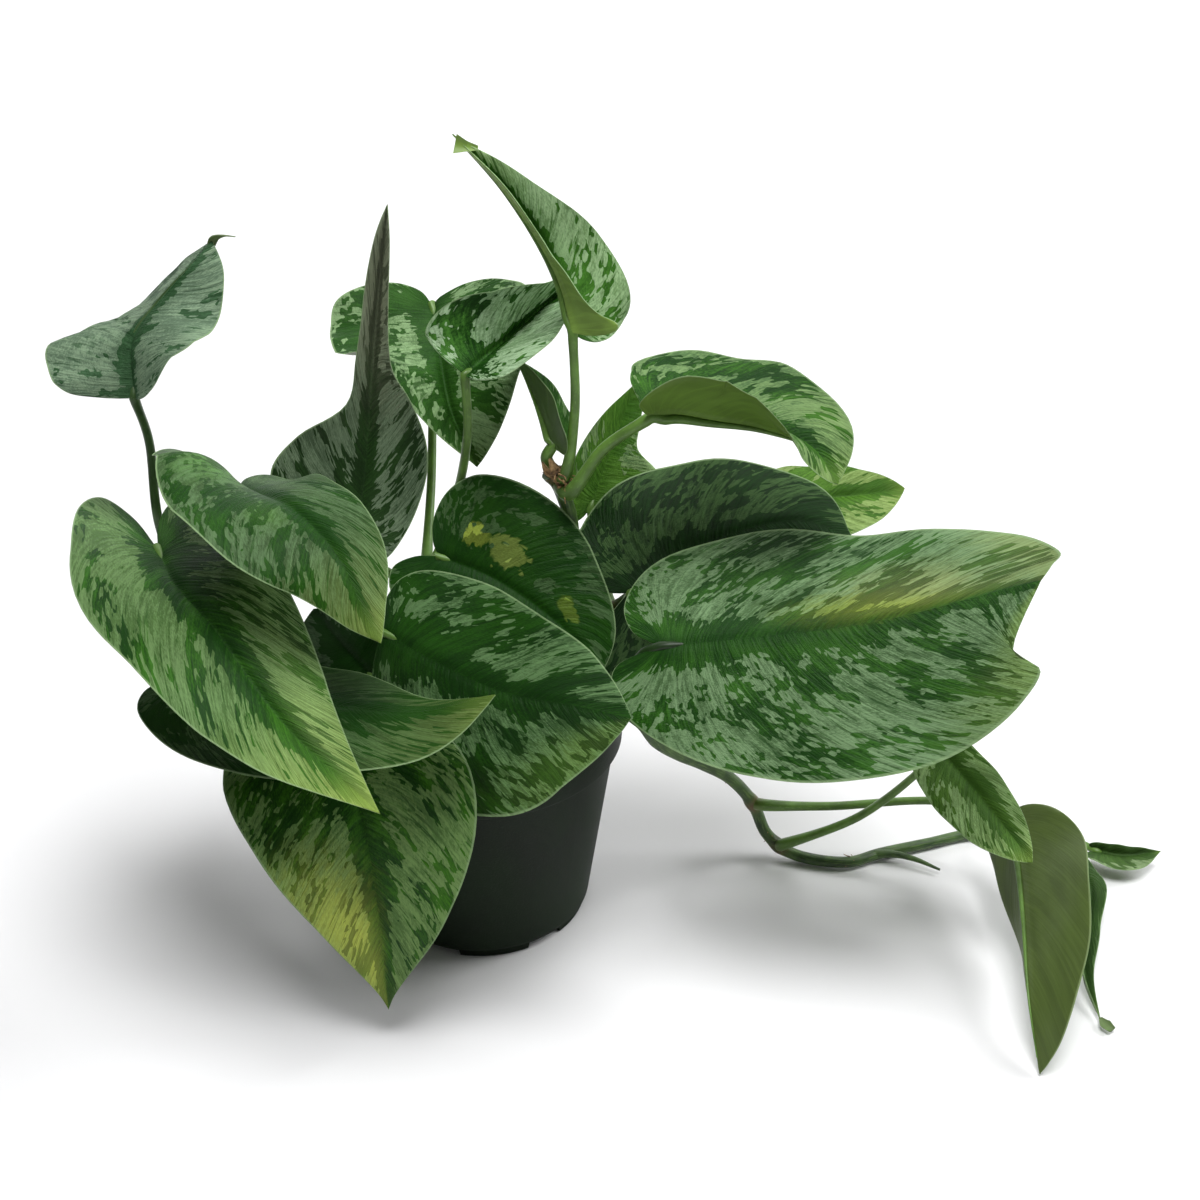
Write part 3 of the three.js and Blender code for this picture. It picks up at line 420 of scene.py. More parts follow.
def square_to(vectors, ways):
    """The vectors without what they have along the ways, at length 1."""
    return unit(vectors - ways * (vectors * ways).sum(-1, keepdims=True))


def smooth_step(low, high, values):
    share = np.clip((values - low) / (high - low), 0, 1)
    return share * share * (3 - 2 * share)


def bell(values, width):
    return np.exp(-((values / width) ** 2))


def hermite(start, end, leave, reach, step):
    """Runs from start to end as step goes from 0 to 1, with slope leave at first and reach at last."""
    cubic = 2 * start - 2 * end + leave + reach
    square = -3 * start + 3 * end - 2 * leave - reach
    return start + leave * step + square * step**2 + cubic * step**3


def uv_pairs(first, second):
    return np.stack(np.broadcast_arrays(first, second), -1)


class Curve:
    """A centripetal Catmull-Rom curve through points, read by share of its length."""

    STEPS = 40

    def __init__(self, points):
        knots = np.asarray(points, float)
        first = 2 * knots[0] - knots[1]
        last = 2 * knots[-1] - knots[-2]
        knots = np.vstack([first, knots, last])
        gaps = np.linalg.norm(np.diff(knots, axis=0), axis=1) ** 0.5
        steps = np.linspace(0, 1, self.STEPS, endpoint=False)[:, None]
        line = []
        for index in range(1, len(knots) - 2):
            before, start, end, after = knots[index - 1 : index + 3]
            gap_before, gap, gap_after = gaps[index - 1 : index + 2]
            leave = (start - before) / gap_before - (end - before) / (gap_before + gap) + (end - start) / gap
            reach = (end - start) / gap - (after - start) / (gap + gap_after) + (after - end) / gap_after
            line.append(hermite(start, end, leave * gap, reach * gap, steps))
        line.append(knots[-2][None])
        self.line = np.vstack(line)
        lengths = np.linalg.norm(np.diff(self.line, axis=0), axis=1)
        self.along = np.concatenate([[0], np.cumsum(lengths)])
        self.length = self.along[-1]
        self.ways = unit(np.gradient(self.line, self.along, axis=0))

    def _read(self, table, shares):
        places = np.asarray(shares) * self.length
        return np.stack([np.interp(places, self.along, table[:, axis]) for axis in range(3)], -1)

    def at(self, shares):
        return self._read(self.line, shares)

    def way(self, shares):
        return unit(self._read(self.ways, shares))


def link(name, data):
    """Puts an object with a mesh, light or camera into the scene."""
    thing = bpy.data.objects.new(name, data)
    bpy.context.scene.collection.objects.link(thing)
    return thing


class Builder:
    """Gathers one piece: points, faces of point numbers, a material for each face and two UV layers."""

    MERGE_DISTANCE = 1e-4

    def __init__(self):
        self.points = []
        self.uvs = {"blade": [], "share": []}
        self.faces = []
        self.slots = []

    def add_points(self, points, blade=None, share=None):
        """Adds points with their UV pairs and says what number the first one has."""
        start = sum(len(block) for block in self.points)
        count = points.size // 3
        self.points.append(points.reshape(-1, 3))
        for layer, pairs in (("blade", blade), ("share", share)):
            self.uvs[layer].append(np.zeros((count, 2)) if pairs is None else pairs.reshape(-1, 2))
        return start

    def add_face(self, corners, slot, flip):
        self.faces.append(corners[::-1] if flip else corners)
        self.slots.append(slot)

    def grid(self, points, blade=None, share=None, slot=0, flip=False, closed=False):
        """Adds a grid of points, rows by columns, whose last column meets the first if it is closed."""
        rows, columns = points.shape[:2]
        start = self.add_points(points, blade, share)
        for row in range(rows - 1):
            for column in range(columns if closed else columns - 1):
                here = start + row * columns + column
                beside = start + row * columns + (column + 1) % columns
                self.add_face([here, beside, beside + columns, here + columns], slot, flip)

    def cap(self, ring, slot=0, flip=False):
        """Closes a ring of points with a fan round its middle."""
        count = len(ring)
        start = self.add_points(np.vstack([ring, ring.mean(0)[None]]))
        for index in range(count):
            self.add_face([start + index, start + (index + 1) % count, start + count], slot, flip)

    def rod(self, rings, blade=None, share=None, slot=0):
        """Adds rings of points that follow each other, closed at both ends."""
        self.grid(rings, blade, share, slot, closed=True)
        self.cap(rings[0], slot, flip=True)
        self.cap(rings[-1], slot)

    def object(self, name, materials, sharp=None):
        """Joins points that meet, leaves out faces without area and makes the mesh object."""
        points = np.vstack(self.points)
        keys = np.round(points / self.MERGE_DISTANCE).astype(np.int64)
        _, first, index = np.unique(keys, axis=0, return_index=True, return_inverse=True)
        index = index.reshape(-1).tolist()
        faces, slots, corners = [], [], []
        for face, slot in zip(self.faces, self.slots):
            kept = {}
            for corner in face:
                kept.setdefault(index[corner], corner)
            if len(kept) > 2:
                faces.append(list(kept))
                slots.append(slot)
                corners.extend(kept.values())
        mesh = bpy.data.meshes.new(name)
        mesh.from_pydata((points[first] * MM).tolist(), [], faces)
        for layer, pairs in self.uvs.items():
            uv = mesh.uv_layers.new(name=layer)
            uv.data.foreach_set("uv", np.vstack(pairs)[corners].astype(np.float32).ravel())
        for material in materials:
            mesh.materials.append(material)
        mesh.polygons.foreach_set("material_index", np.array(slots, np.int32))
        mesh.polygons.foreach_set("use_smooth", np.ones(len(faces), bool))
        if sharp is not None:
            mesh.set_sharp_from_angle(angle=math.radians(sharp))
        mesh.validate()
        mesh.update()
        return link(name, mesh)


def tube(builder, line, radii, side, sides=14, slot=0, groove=0.0, share=None):
    """A tube along a line, twisted as little as can be. groove sinks it where it faces the first side."""
    side = np.asarray(side, float)
    ways = unit(np.gradient(line, axis=0))
    frames = []
    for way in ways:
        side = square_to(side, way)
        frames.append(side)
    frames = np.array(frames)
    others = np.cross(ways, frames)
    angles = np.linspace(0, FULL_TURN, sides, endpoint=False)
    from_side = (angles + math.pi) % FULL_TURN - math.pi
    dent = 1 - np.asarray(groove).reshape(-1, 1) * bell(from_side, 0.55)
    reach = np.asarray(radii, float)[:, None] * dent
    points = (
        line[:, None]
        + frames[:, None] * (reach * np.cos(angles))[..., None]
        + others[:, None] * (reach * np.sin(angles))[..., None]
    )
    lengths = np.concatenate([[0], np.cumsum(np.linalg.norm(np.diff(line, axis=0), axis=1))])
    blade = uv_pairs(lengths[:, None] * CM, angles[None] * radii[:, None] * CM)
    marks = np.zeros(len(line)) if share is None else share
    builder.rod(points, blade, uv_pairs(marks[:, None], angles[None] / FULL_TURN), slot)


def ribbon(builder, points, widths, face):
    """A thin ribbon along a curve, a little dished."""
    shares = np.linspace(0, 1, RIBBON_ROWS)
    columns = np.linspace(-1, 1, RIBBON_COLUMNS)
    curve = Curve(points)
    line, ways = curve.at(shares), curve.way(shares)
    across = unit(np.cross(ways, np.asarray(face, float)))
    normal = np.cross(across, ways)
    half = spread(widths, shares)[:, None] / 2
    middle = line[:, None] + across[:, None] * (half * columns)[..., None]
    middle = middle + normal[:, None] * (half * RIBBON_DISH * columns**2)[..., None]
    blade = uv_pairs(shares[:, None] * curve.length * CM, half * columns * CM)
    share = uv_pairs(np.ones((RIBBON_ROWS, 1)), columns[None] * 0.5)
    rise = normal[:, None] * MARGIN_THICKNESS
    sheets = ((middle + rise, middle - rise), (blade, blade), (share, share))
    rings = [np.concatenate([over, below[:, ::-1]], axis=1) for over, below in sheets]
    builder.rod(*rings, slot=1)


# -------------------- leaf blades


def half_value(leaf, key, side, plain):
    """What a leaf's table says for its left half, side 0, or its right half, side 1."""
    value = leaf.get(key, plain)
    return value[side] if isinstance(value, tuple) else value


def outline_rows(outline, lobes):
    """Row by row: the place along and the place out of the margin, and the side vein's foot."""
    knots = np.array([[0, 0], *outline, [1, 0]], float)
    knots[:, 0] = np.where(knots[:, 0] < 0, knots[:, 0] * lobes, knots[:, 0])
    rows = np.linspace(0, 1, BLADE_ROWS + 1)
    place = rows * (len(knots) - 1)
    index = np.minimum(place.astype(int), len(knots) - 2)
    before = knots[np.maximum(index - 1, 0)]
    start = knots[index]
    end = knots[index + 1]
    after = knots[np.minimum(index + 2, len(knots) - 1)]
    rim = hermite(start, end, (end - before) / 2, (after - start) / 2, (place - index)[:, None])
    return rim[:, 0], np.maximum(rim[:, 1], 0), spread(VEIN_FEET, rows)


def half_grid(leaf, curve, side):
    """Middle points of one half blade, rows by columns, with their UV pairs and how far out they are."""
    sign = 2 * side - 1
    reach = half_value(leaf, "width", side, 0) / 2
    lobes = half_value(leaf, "lobes", side, 1)
    rim_along, rim_out, feet = outline_rows(half_value(leaf, "outline", side, HEART), lobes)
    edge = np.linspace(0, 1, BLADE_COLUMNS + 1) ** COLUMN_CROWDING
    along = feet[:, None] + (rim_along - feet)[:, None] * edge**VEIN_SWEEP
    out = rim_out[:, None] * edge
    held = np.clip(along, 0, 1)
    forward = curve.way(held)
    middle = curve.at(held) + forward * ((along - held) * curve.length)[..., None]
    face = square_to(spread_vectors(leaf["faces"], held), forward)
    across = np.cross(forward, face) * sign
    fold = np.radians(spread(half_value(leaf, "fold", side, 0), held))
    roll = np.radians(spread(half_value(leaf, "curl", side, 0), held)) * out
    rolled = np.abs(roll) > 1e-4
    safe = np.where(rolled, roll, 1)
    level = np.where(rolled, (np.sin(fold + roll) - np.sin(fold)) / safe, np.cos(fold))
    lift = np.where(rolled, (np.cos(fold) - np.cos(fold + roll)) / safe, np.sin(fold))
    height, count, start = leaf["wave"]
    ripple = height * out**2 * np.sin(FULL_TURN * (count * along + start + (1 - side) * WAVE_LAG))
    far = out * reach
    points = middle + across * (far * level)[..., None] + face * (far * lift + ripple)[..., None]
    rows = np.linspace(0, 1, BLADE_ROWS + 1)[:, None]
    slimness = max(curve.length / (2 * reach) - 0.7, 0.2)
    lean = VEIN_LEAN * slimness * (far + far**2 / VEIN_BEND) * smooth_step(0.12, 0.45, rows)
    blade = uv_pairs((rows * PATTERN_STRETCH * curve.length - lean) * CM, sign * far * CM)
    return points, blade, uv_pairs(along, sign * edge), far


def grid_normals(points):
    """Normals of a grid of points, averaged over the faces that meet where points coincide."""
    down = np.diff(points, axis=0)
    right = np.diff(points, axis=1)
    normals = np.zeros_like(points)
    near = np.cross(down[:, :-1], right[:-1])
    far = np.cross(down[:, 1:], right[1:])
    rows, columns = near.shape[:2]
    corners = ((near, 0, 0), (near, 1, 0), (near, 0, 1), (far, 1, 1), (far, 0, 1), (far, 1, 0))
    for faces, row, column in corners:
        normals[row : row + rows, column : column + columns] += faces
    keys = np.round(points.reshape(-1, 3) / 1e-3).astype(np.int64)
    _, index = np.unique(keys, axis=0, return_inverse=True)
    index = index.reshape(-1)
    total = np.zeros((index.max() + 1, 3))
    np.add.at(total, index, normals.reshape(-1, 3))
    return unit(total[index]).reshape(points.shape)


def swell(points, seed):
    """Slow, low undulation of a blade, from three crossed waves."""
    rng = np.random.default_rng(seed)
    total = np.zeros(points.shape[:-1])
    for _ in range(3):
        way = unit(rng.normal(size=3))
        length = SWELL_LENGTH * rng.uniform(0.7, 1.4)
        total += np.sin(points @ way * FULL_TURN / length + rng.uniform(0, 6.3))
    return total * SWELL_SIZE / 3


def add_blade(builder, leaf, curve, seed):
    """The two halves as one sheet with a top, a bottom and a wall along its margins."""
    halves = zip(half_grid(leaf, curve, 0), half_grid(leaf, curve, 1))
    points, blade, share, out = (np.concatenate([left[:, :0:-1], right], axis=1) for left, right in halves)
    along, edge = share[..., 0], np.abs(share[..., 1])
    normals = grid_normals(points)
    if (normals * spread_vectors(leaf["faces"], np.clip(along, 0, 1))).sum() < 0:
        normals = -normals
    thickness = MARGIN_THICKNESS + (BLADE_THICKNESS - MARGIN_THICKNESS) * (1 - edge**10) ** 0.5
    half = normals * thickness[..., None] / 2
    veins = np.maximum(np.cos(blade[..., 0] / CM * FULL_TURN / SIDE_VEIN_SPACING), 0) ** 4
    ends = smooth_step(0, 0.25, along) * smooth_step(1.02, 0.8, along)
    relief = -SIDE_VEIN_RELIEF * veins * ends * smooth_step(1, 0.7, edge) * smooth_step(2, 7, out)
    relief += swell(points, seed) * smooth_step(4, 18, out) * smooth_step(1.0, 0.9, edge)
    groove = -MIDRIB_GROOVE * bell(out, MIDRIB_GROOVE_WIDTH) * smooth_step(1, 0.6, along)
    middle = points + normals * (relief + groove)[..., None]
    top = middle + half
    bottom = middle - half
    builder.grid(top, blade, share, slot=0)
    builder.grid(bottom, blade, share, slot=1, flip=True)
    for column, flip in ((0, True), (-1, False)):
        sheets = ((top, bottom), (blade, blade), (share, share))
        wall = [np.stack([over[:, column], below[:, column]], axis=1) for over, below in sheets]
        builder.grid(*wall, slot=0, flip=flip)


def nearest_stem_point(start):
    """The point of any vine's middle line that is nearest to start."""
    lines = np.vstack([Curve(stem["route"]).line for stem in STEMS.values()])
    return lines[np.linalg.norm(lines - start, axis=1).argmin()]


def add_petiole(builder, leaf, curve):
    """The petiole from inside its stem to the blade, going on as the ridge under the midrib."""
    face = unit(np.array(leaf["faces"][0], float))
    start = np.array(leaf["midrib"][0], float) - face * PETIOLE_DROP
    foot = np.array(leaf["petiole"][0], float)
    anchor = foot + (nearest_stem_point(foot) - foot) * PETIOLE_ROOTING
    stalk = Curve([anchor, *leaf["petiole"], start])
    shares = np.linspace(0, 1, max(16, int(stalk.length / PETIOLE_STEP)))
    foot_radius, head_radius = leaf.get("petiole_radius", PETIOLE_RADII)
    radii = foot_radius + (head_radius - foot_radius) * shares
    radii = radii * (1 + SHEATH_SWELL * bell(shares * stalk.length, SHEATH_LENGTH))
    radii = radii * (1 + PETIOLE_HEAD_SWELL * bell((shares - 1) * stalk.length, PETIOLE_HEAD_LENGTH))
    rib_shares = np.linspace(0, MIDRIB_REACH, MIDRIB_STEPS)[1:]
    rib_radii = MIDRIB_LAST_RADIUS + (head_radius - MIDRIB_LAST_RADIUS) * (1 - rib_shares) ** 1.3
    rib_face = square_to(spread_vectors(leaf["faces"], rib_shares), curve.way(rib_shares))
    buried = rib_radii + MIDRIB_GROOVE * smooth_step(1, 0.6, rib_shares)
    drop = buried + smooth_step(0.08, 0, rib_shares) * (PETIOLE_DROP - buried)
    rib = curve.at(rib_shares) - rib_face * drop[:, None]
    line = np.vstack([stalk.at(shares), rib])
    marks = np.concatenate([shares, np.ones(len(rib))])
    groove = np.concatenate([PETIOLE_GROOVE * smooth_step(0, 0.2, shares), np.zeros(len(rib))])
    tube(builder, line, np.concatenate([radii, rib_radii]), face, slot=2, groove=groove, share=marks)


# -------------------- materials


def srgb(code):
    """A hex colour as linear red, green, blue, alpha."""
    channels = [int(code[index : index + 2], 16) / 255 for index in (1, 3, 5)]
    return [c / 12.92 if c <= 0.04045 else ((c + 0.055) / 1.055) ** 2.4 for c in channels] + [1]


def shaded(code, factor):
    """The hex colour made darker or lighter by a factor."""
    return [min(channel * factor, 1) for channel in srgb(code)[:3]] + [1]


class Value:
    """A number that varies over a surface. Its arithmetic adds nodes to the material's tree."""

    def __init__(self, nodes, socket):
        self.nodes = nodes
        self.socket = socket

    def __add__(self, other):
        return self.nodes.math("ADD", self, other)

    def __sub__(self, other):
        return self.nodes.math("SUBTRACT", self, other)

    def __mul__(self, other):
        return self.nodes.math("MULTIPLY", self, other)

    def __truediv__(self, other):
        return self.nodes.math("DIVIDE", self, other)

    def __abs__(self):
        return self.nodes.math("ABSOLUTE", self)

    def step(self, low, high):
        """Runs smoothly from 0 where the value is low to 1 where it is high."""
        inputs = {"Value": self, "From Min": low, "From Max": high}
        return self.nodes.value("ShaderNodeMapRange", inputs, interpolation_type="SMOOTHSTEP")


class Nodes:
    """A material's node tree, with short calls for the kinds of node used here."""

    def __init__(self, name):
        self.material = bpy.data.materials.new(name)
        self.material.use_nodes = True
        self.tree = self.material.node_tree
        self.shader = self.tree.nodes["Principled BSDF"].inputs

    def put(self, socket, value):
        """Links a value to a socket, or sets it there if it is a number, a hex colour or a list."""
        if isinstance(value, Value):
            value = value.socket
        if isinstance(value, bpy.types.NodeSocket):
            self.tree.links.new(value, socket)
        else:
            socket.default_value = srgb(value) if isinstance(value, str) else value

    def add(self, kind, inputs, **settings):
        """Adds a node and returns its outputs."""
        node = self.tree.nodes.new(kind)
        for key, value in settings.items():
            setattr(node, key, value)
        for key, value in inputs.items():
            self.put(node.inputs[key], value)
        return node.outputs

    def value(self, kind, inputs, **settings):
        return Value(self, self.add(kind, inputs, **settings)[0])

    def math(self, operation, *values):
        return self.value("ShaderNodeMath", dict(enumerate(values)), operation=operation)

    def mix(self, share, first, second, kind="MIX"):
        inputs = {0: share, 6: first, 7: second}
        return self.add("ShaderNodeMix", inputs, data_type="RGBA", blend_type=kind)[2]

    def noise(self, vector, scale, detail=2, roughness=0.5):
        inputs = {"Vector": vector, "Scale": scale, "Detail": detail, "Roughness": roughness}
        return self.value("ShaderNodeTexNoise", inputs)

    def vector(self, x, y, z=0.0):
        return self.add("ShaderNodeCombineXYZ", {0: x, 1: y, 2: z})[0]

    def split(self, vector):
        outputs = self.add("ShaderNodeSeparateXYZ", {0: vector})
        return Value(self, outputs[0]), Value(self, outputs[1])

    def uv(self, layer):
        return self.split(self.add("ShaderNodeUVMap", {}, uv_map=layer)[0])

    def place(self):
        return self.add("ShaderNodeTexCoord", {})["Object"]

    def finish(self, color, roughness, bump=None, specular=0.5):
        """Sets the shader. bump is a height, how strongly it shows and its depth in metres."""
        self.put(self.shader["Base Color"], color)
        self.put(self.shader["Roughness"], roughness)
        self.put(self.shader["Specular IOR Level"], specular)
        if bump:
            inputs = dict(zip(("Height", "Strength", "Distance"), bump))
            self.put(self.shader["Normal"], self.add("ShaderNodeBump", inputs)[0])
        return self.material


# The leaves' variegation: scales of its patterns, in repeats per centimetre of blade. The first number
# is across the side veins and the second along them.
BLOTCHES = (0.85, 0.5)
FINGERS = (2.5, 1.25)
CRUMBS = (6.5, 3.8)
CELLS = (9.0, 5.2)
WANDER = (1.6, 0.9)
DARK_LINES = (3.2, 0.25)
VEINS = (7.0, 0.6)
THREADS = (11.0, 1.1)
TONE_SCALE = 0.7
GRAIN_SCALE = 17.0
# How far the pattern is broken up into whole cells.
RAGGEDNESS = 0.75
# A patch that reaches further than this across the blade fades out slowly.
SOFT_PATCH = 0.2
TIP_GREEN = "#9ab255"
TIP_GROUND = "#3f6b1c"
RIM_GREEN = "#8aa576"
UNDER_GREEN = "#5d7440"
STALK_GREEN = "#63893a"


def leaf_upper(name, seed, leaf):
    """The variegated upper side: ragged silver blotches drawn out along the side veins on dark green."""
    n = Nodes(name)
    around, out = n.uv("blade")
    along, signed_edge = n.uv("share")
    reach = abs(out)
    edge = abs(signed_edge)
    # The greens carry painted light and shade: lighter for a well-lit leaf, darker for a shaded one.
    dark, light, middle, pale = leaf["greens_as_lit"]
    tips = leaf.get("tips", 0)
    shift = n.math("SIGN", out) * 3.7 + seed * 7.31

    def pattern(scales, detail, roughness=0.5, place=(around, reach)):
        spot = n.vector(place[0] * scales[0], place[1] * scales[1], shift)
        return n.noise(spot, 1.0, detail, roughness)

    # The cells' middles, which give the blotches their ragged edges.
    bent = around + (pattern(WANDER, 2) - 0.5) * 0.5
    inputs = {"Vector": n.vector(bent * CELLS[0], reach * CELLS[1]), "Scale": 1.0, "Randomness": 1.0}
    cells = n.add("ShaderNodeTexVoronoi", inputs, voronoi_dimensions="2D")
    cell_around, cell_reach = n.split(cells["Position"])
    ragged_around = bent + (cell_around / CELLS[0] - bent) * RAGGEDNESS
    ragged_reach = reach + (cell_reach / CELLS[1] - reach) * RAGGEDNESS
    ragged = (ragged_around, ragged_reach)
    crumbs = pattern(CRUMBS, 2, 0.65, ragged) - 0.5
    fingers = pattern(FINGERS, 1, place=ragged) - 0.5

    # Big blotches half way out, crumbs near the margin and the base, and a dark band along the midrib.
    outer = n.math("MAXIMUM", edge.step(0.55, 0.9), along.step(0.42, -0.08))
    level = pattern(BLOTCHES, 1, place=ragged) + fingers * 0.8 + crumbs * (outer * 0.6 + 0.7)
    level = level - outer * 0.04 + edge.step(0.91, 0.97) * 0.12
    narrowing = n.math("MAXIMUM", along * -0.72 + 1.0, 0.12)
    band = ragged_reach / (narrowing * leaf.get("band", 0.7))
    level = level - band.step(1.5, 0.35) * 0.55 + along.step(0.6, 1.0) * 0.08
    cut = 0.5 - (leaf["cover"] - 0.5) * 0.7
    blotch = level.step(cut - 0.006, cut + 0.008)

    # Thin dark lines that break up the silver towards the margin and the tip.
    lines = abs(pattern(DARK_LINES, 1) - 0.5) + crumbs * 0.09
    lines = lines.step(0.018, 0.004) * (edge + along).step(0.3, 1.1)
    blotch = blotch * (lines * -0.75 + 1.0)

    # The two greens and the two silvers, fresher towards the tip, and painted shade that darkens the
    # midrib towards its base.
    flat = n.vector(around, reach, shift)
    tone = n.noise(flat, TONE_SCALE)
    grain = n.noise(flat, GRAIN_SCALE, 3, 0.7)
    threads = pattern(THREADS, 3, 0.6)
    fine = grain + threads - 1.0
    fresh = along.step(0.55, 0.95) * tips
    ground = n.mix((tone + fine * 0.5).step(0.35, 0.72), dark, light)
    ground = n.mix(fresh * 0.7, ground, TIP_GROUND)
    silver = n.mix((tone + crumbs + fine).step(0.25, 0.72), middle, pale)
    silver = n.mix(fresh * 0.5, silver, TIP_GREEN)
    color = n.mix(blotch, ground, silver)
    # Painted shade: darkens the blade along the midrib, most near the base, as if shade lay in its crease.
    midrib_shade = reach.step(0.9, 0.05) * along.step(0.95, 0.3) * leaf.get("midrib_shade", 0.4)
    color = n.mix(midrib_shade, color, dark)
    color = n.mix(along.step(0.82, 1.02) * (tips * 0.85), color, TIP_GREEN)

    for row, span, row_reach, span_reach, strength, tint in leaf.get("patches", []):
        soft = span_reach > SOFT_PATCH
        down = (along - row) / row_reach
        aside = (signed_edge - span) / span_reach
        far = n.math("SQRT", down * down + aside * aside) + crumbs * (0.8 if soft else 2.4)
        tinted = n.mix(blotch, n.mix(0.6, color, shaded(tint, 0.6)), n.mix(0.85, color, tint))
        inside = far.step(1.25, 0.0) if soft else far.step(1.1, 0.8)
        color = n.mix(inside * strength, color, tinted)

    shade = fine * 0.75 + 1.0
    gray = n.add("ShaderNodeCombineColor", {0: shade, 1: shade, 2: shade})[0]
    color = n.mix(1.0, color, gray, "MULTIPLY")
    color = n.mix(edge.step(0.977, 0.991) * 0.7, color, RIM_GREEN)
    height = pattern(VEINS, 2) + threads + blotch * 0.3 + grain * 0.4
    return n.finish(color, blotch * 0.06 + grain * 0.12 + 0.42, (height, 0.6, 0.0008), 0.12)


def leaf_under(name, seed, tint):
    """The plain olive underside with its raised net of veins."""
    n = Nodes(name)
    around, out = n.uv("blade")
    reach = abs(out)
    edge = abs(n.uv("share")[1])
    flat = n.vector(around, reach, seed)
    veins = n.noise(n.vector(around * 5.0, reach * 0.4, seed), 1.0)
    tone = n.noise(flat, 0.9, 3)
    color = n.mix(tone.step(0.3, 0.7), shaded(tint, 0.74), tint)
    color = n.mix(veins.step(0.52, 0.6) * 0.35, color, shaded(tint, 1.22))
    color = n.mix(edge.step(0.975, 0.99) * 0.6, color, "#93a672")
    height = n.noise(flat, 9.0, 3) * 0.3 + veins
    return n.finish(color, 0.5, (height, 0.3, 0.0005), 0.4)


def stalk_material(name, tint):
    """Petioles: smooth green with pale flecks and a browner foot."""
    n = Nodes(name)
    length, girth = n.uv("blade")
    share = n.uv("share")[0]
    tone = n.noise(n.vector(length * 0.7, girth, 1.3), 2.0, 3)
    flecks = n.noise(n.vector(length * 5.0, girth * 16.0), 1.0, 3)
    color = n.mix(tone.step(0.3, 0.7), shaded(tint, 0.62), tint)
    color = n.mix(flecks.step(0.56, 0.7) * 0.5, color, shaded(tint, 1.45))
    color = n.mix(share.step(0.06, 0.0) * 0.4, color, "#6d6136")
    return n.finish(color, 0.42, (n.noise(n.place(), 2600.0), 0.12, 0.0003), 0.45)


def stem_material():
    """Vines: darker green, with brown scars round the nodes."""
    n = Nodes("vine_stem")
    length, girth = n.uv("blade")
    mark = n.uv("share")[0]
    place = n.place()
    tone = n.noise(place, 130.0, 3)
    streaks = n.noise(n.vector(length * 1.5, girth * 14.0), 1.0, 3)
    color = n.mix(tone.step(0.3, 0.7), "#273f1c", "#45622b")
    color = n.mix(streaks.step(0.5, 0.68) * 0.45, color, "#71904a")
    color = n.mix(mark * tone.step(0.25, 0.6), color, "#6a5636")
    return n.finish(color, 0.48, (n.noise(place, 1800.0) * 0.4 + streaks, 0.25, 0.0004))


def pot_material():
    """Recycled moulded plastic: green-black, matt, with a fine pebble and a few pale scuffs."""
    n = Nodes("pot_plastic")
    place = n.place()
    tone = n.noise(place, 35.0, 3)
    grain = n.noise(place, 1500.0, 3, 0.6)
    scuffs = n.noise(place, 170.0, 6, 0.7)
    color = n.mix(tone.step(0.3, 0.7), "#0a1608", "#10200d")
    color = n.mix(scuffs.step(0.66, 0.78) * 0.2, color, "#3c463b")
    color = n.mix(grain.step(0.5, 0.75) * 0.15, color, "#2f3a30")
    return n.finish(color, tone * 0.15 + 0.5, (grain, 0.25, 0.0003), 0.14)


def soil_material():
    n = Nodes("potting_mix")
    place = n.place()
    tone = n.noise(place, 240.0, 5, 0.7)
    fleck = n.noise(place, 900.0)
    color = n.mix(tone.step(0.35, 0.7), "#1c1510", "#4a3828")
    color = n.mix(fleck.step(0.64, 0.72) * 0.6, color, "#8b7a63")
    return n.finish(color, 0.95, (tone, 0.8, 0.0015))


def mottled_material(name, scale, detail, colors, roughness, strength, depth):
    """Dry stuff that runs between two colours, rough in the same places."""
    n = Nodes(name)
    tone = n.noise(n.place(), scale, detail)
    return n.finish(n.mix(tone.step(0.3, 0.7), *colors), roughness, (tone, strength, depth))


def floor_material():
    return Nodes("studio_floor").finish("#e9e9ea", 0.7, specular=0.2)


# -------------------- leaves

stalks = {}
for number, (name, leaf) in enumerate(LEAVES.items(), 1):
    midrib = Curve(leaf["midrib"])
    builder = Builder()
    add_blade(builder, leaf, midrib, number)
    add_petiole(builder, leaf, midrib)
    if "curled_tip" in leaf:
        ribbon(builder, *leaf["curled_tip"])
    tint = leaf.get("stalk", STALK_GREEN)
    if tint not in stalks:
        stalks[tint] = stalk_material(f"petiole_green_{len(stalks)}", tint)
    node = f"leaf_{name}"
    upper = leaf_upper(f"{node}_upper", number, leaf)
    under = leaf_under(f"{node}_under", number, leaf.get("under", UNDER_GREEN))
    piece = builder.object(f"{node}_grown", [upper, under, stalks[tint]], sharp=70)
    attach(piece, "root")
    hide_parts(node)

# -------------------- stems


def add_tuft(builder, centre, reach, count, radius, rng):
    """Dried threads that leave the vine at a node and curl back round it."""
    for _ in range(count):
        way = unit(rng.normal(size=3) * (1, 1, 0.6))
        turn = unit(np.cross(way, rng.normal(size=3)))
        length = reach * rng.uniform(0.6, 1.0)
        start = np.array(centre, float) + rng.normal(size=3) * 0.9
        bend = start + way * length * 0.45 + turn * 0.8
        end = start + way * length * 0.75 + turn * length * 0.5
        line = Curve([start, bend, end]).at(np.linspace(0, 1, THREAD_ROWS))
        tube(builder, line, np.linspace(radius, radius * 0.35, THREAD_ROWS), turn, sides=6, slot=1)


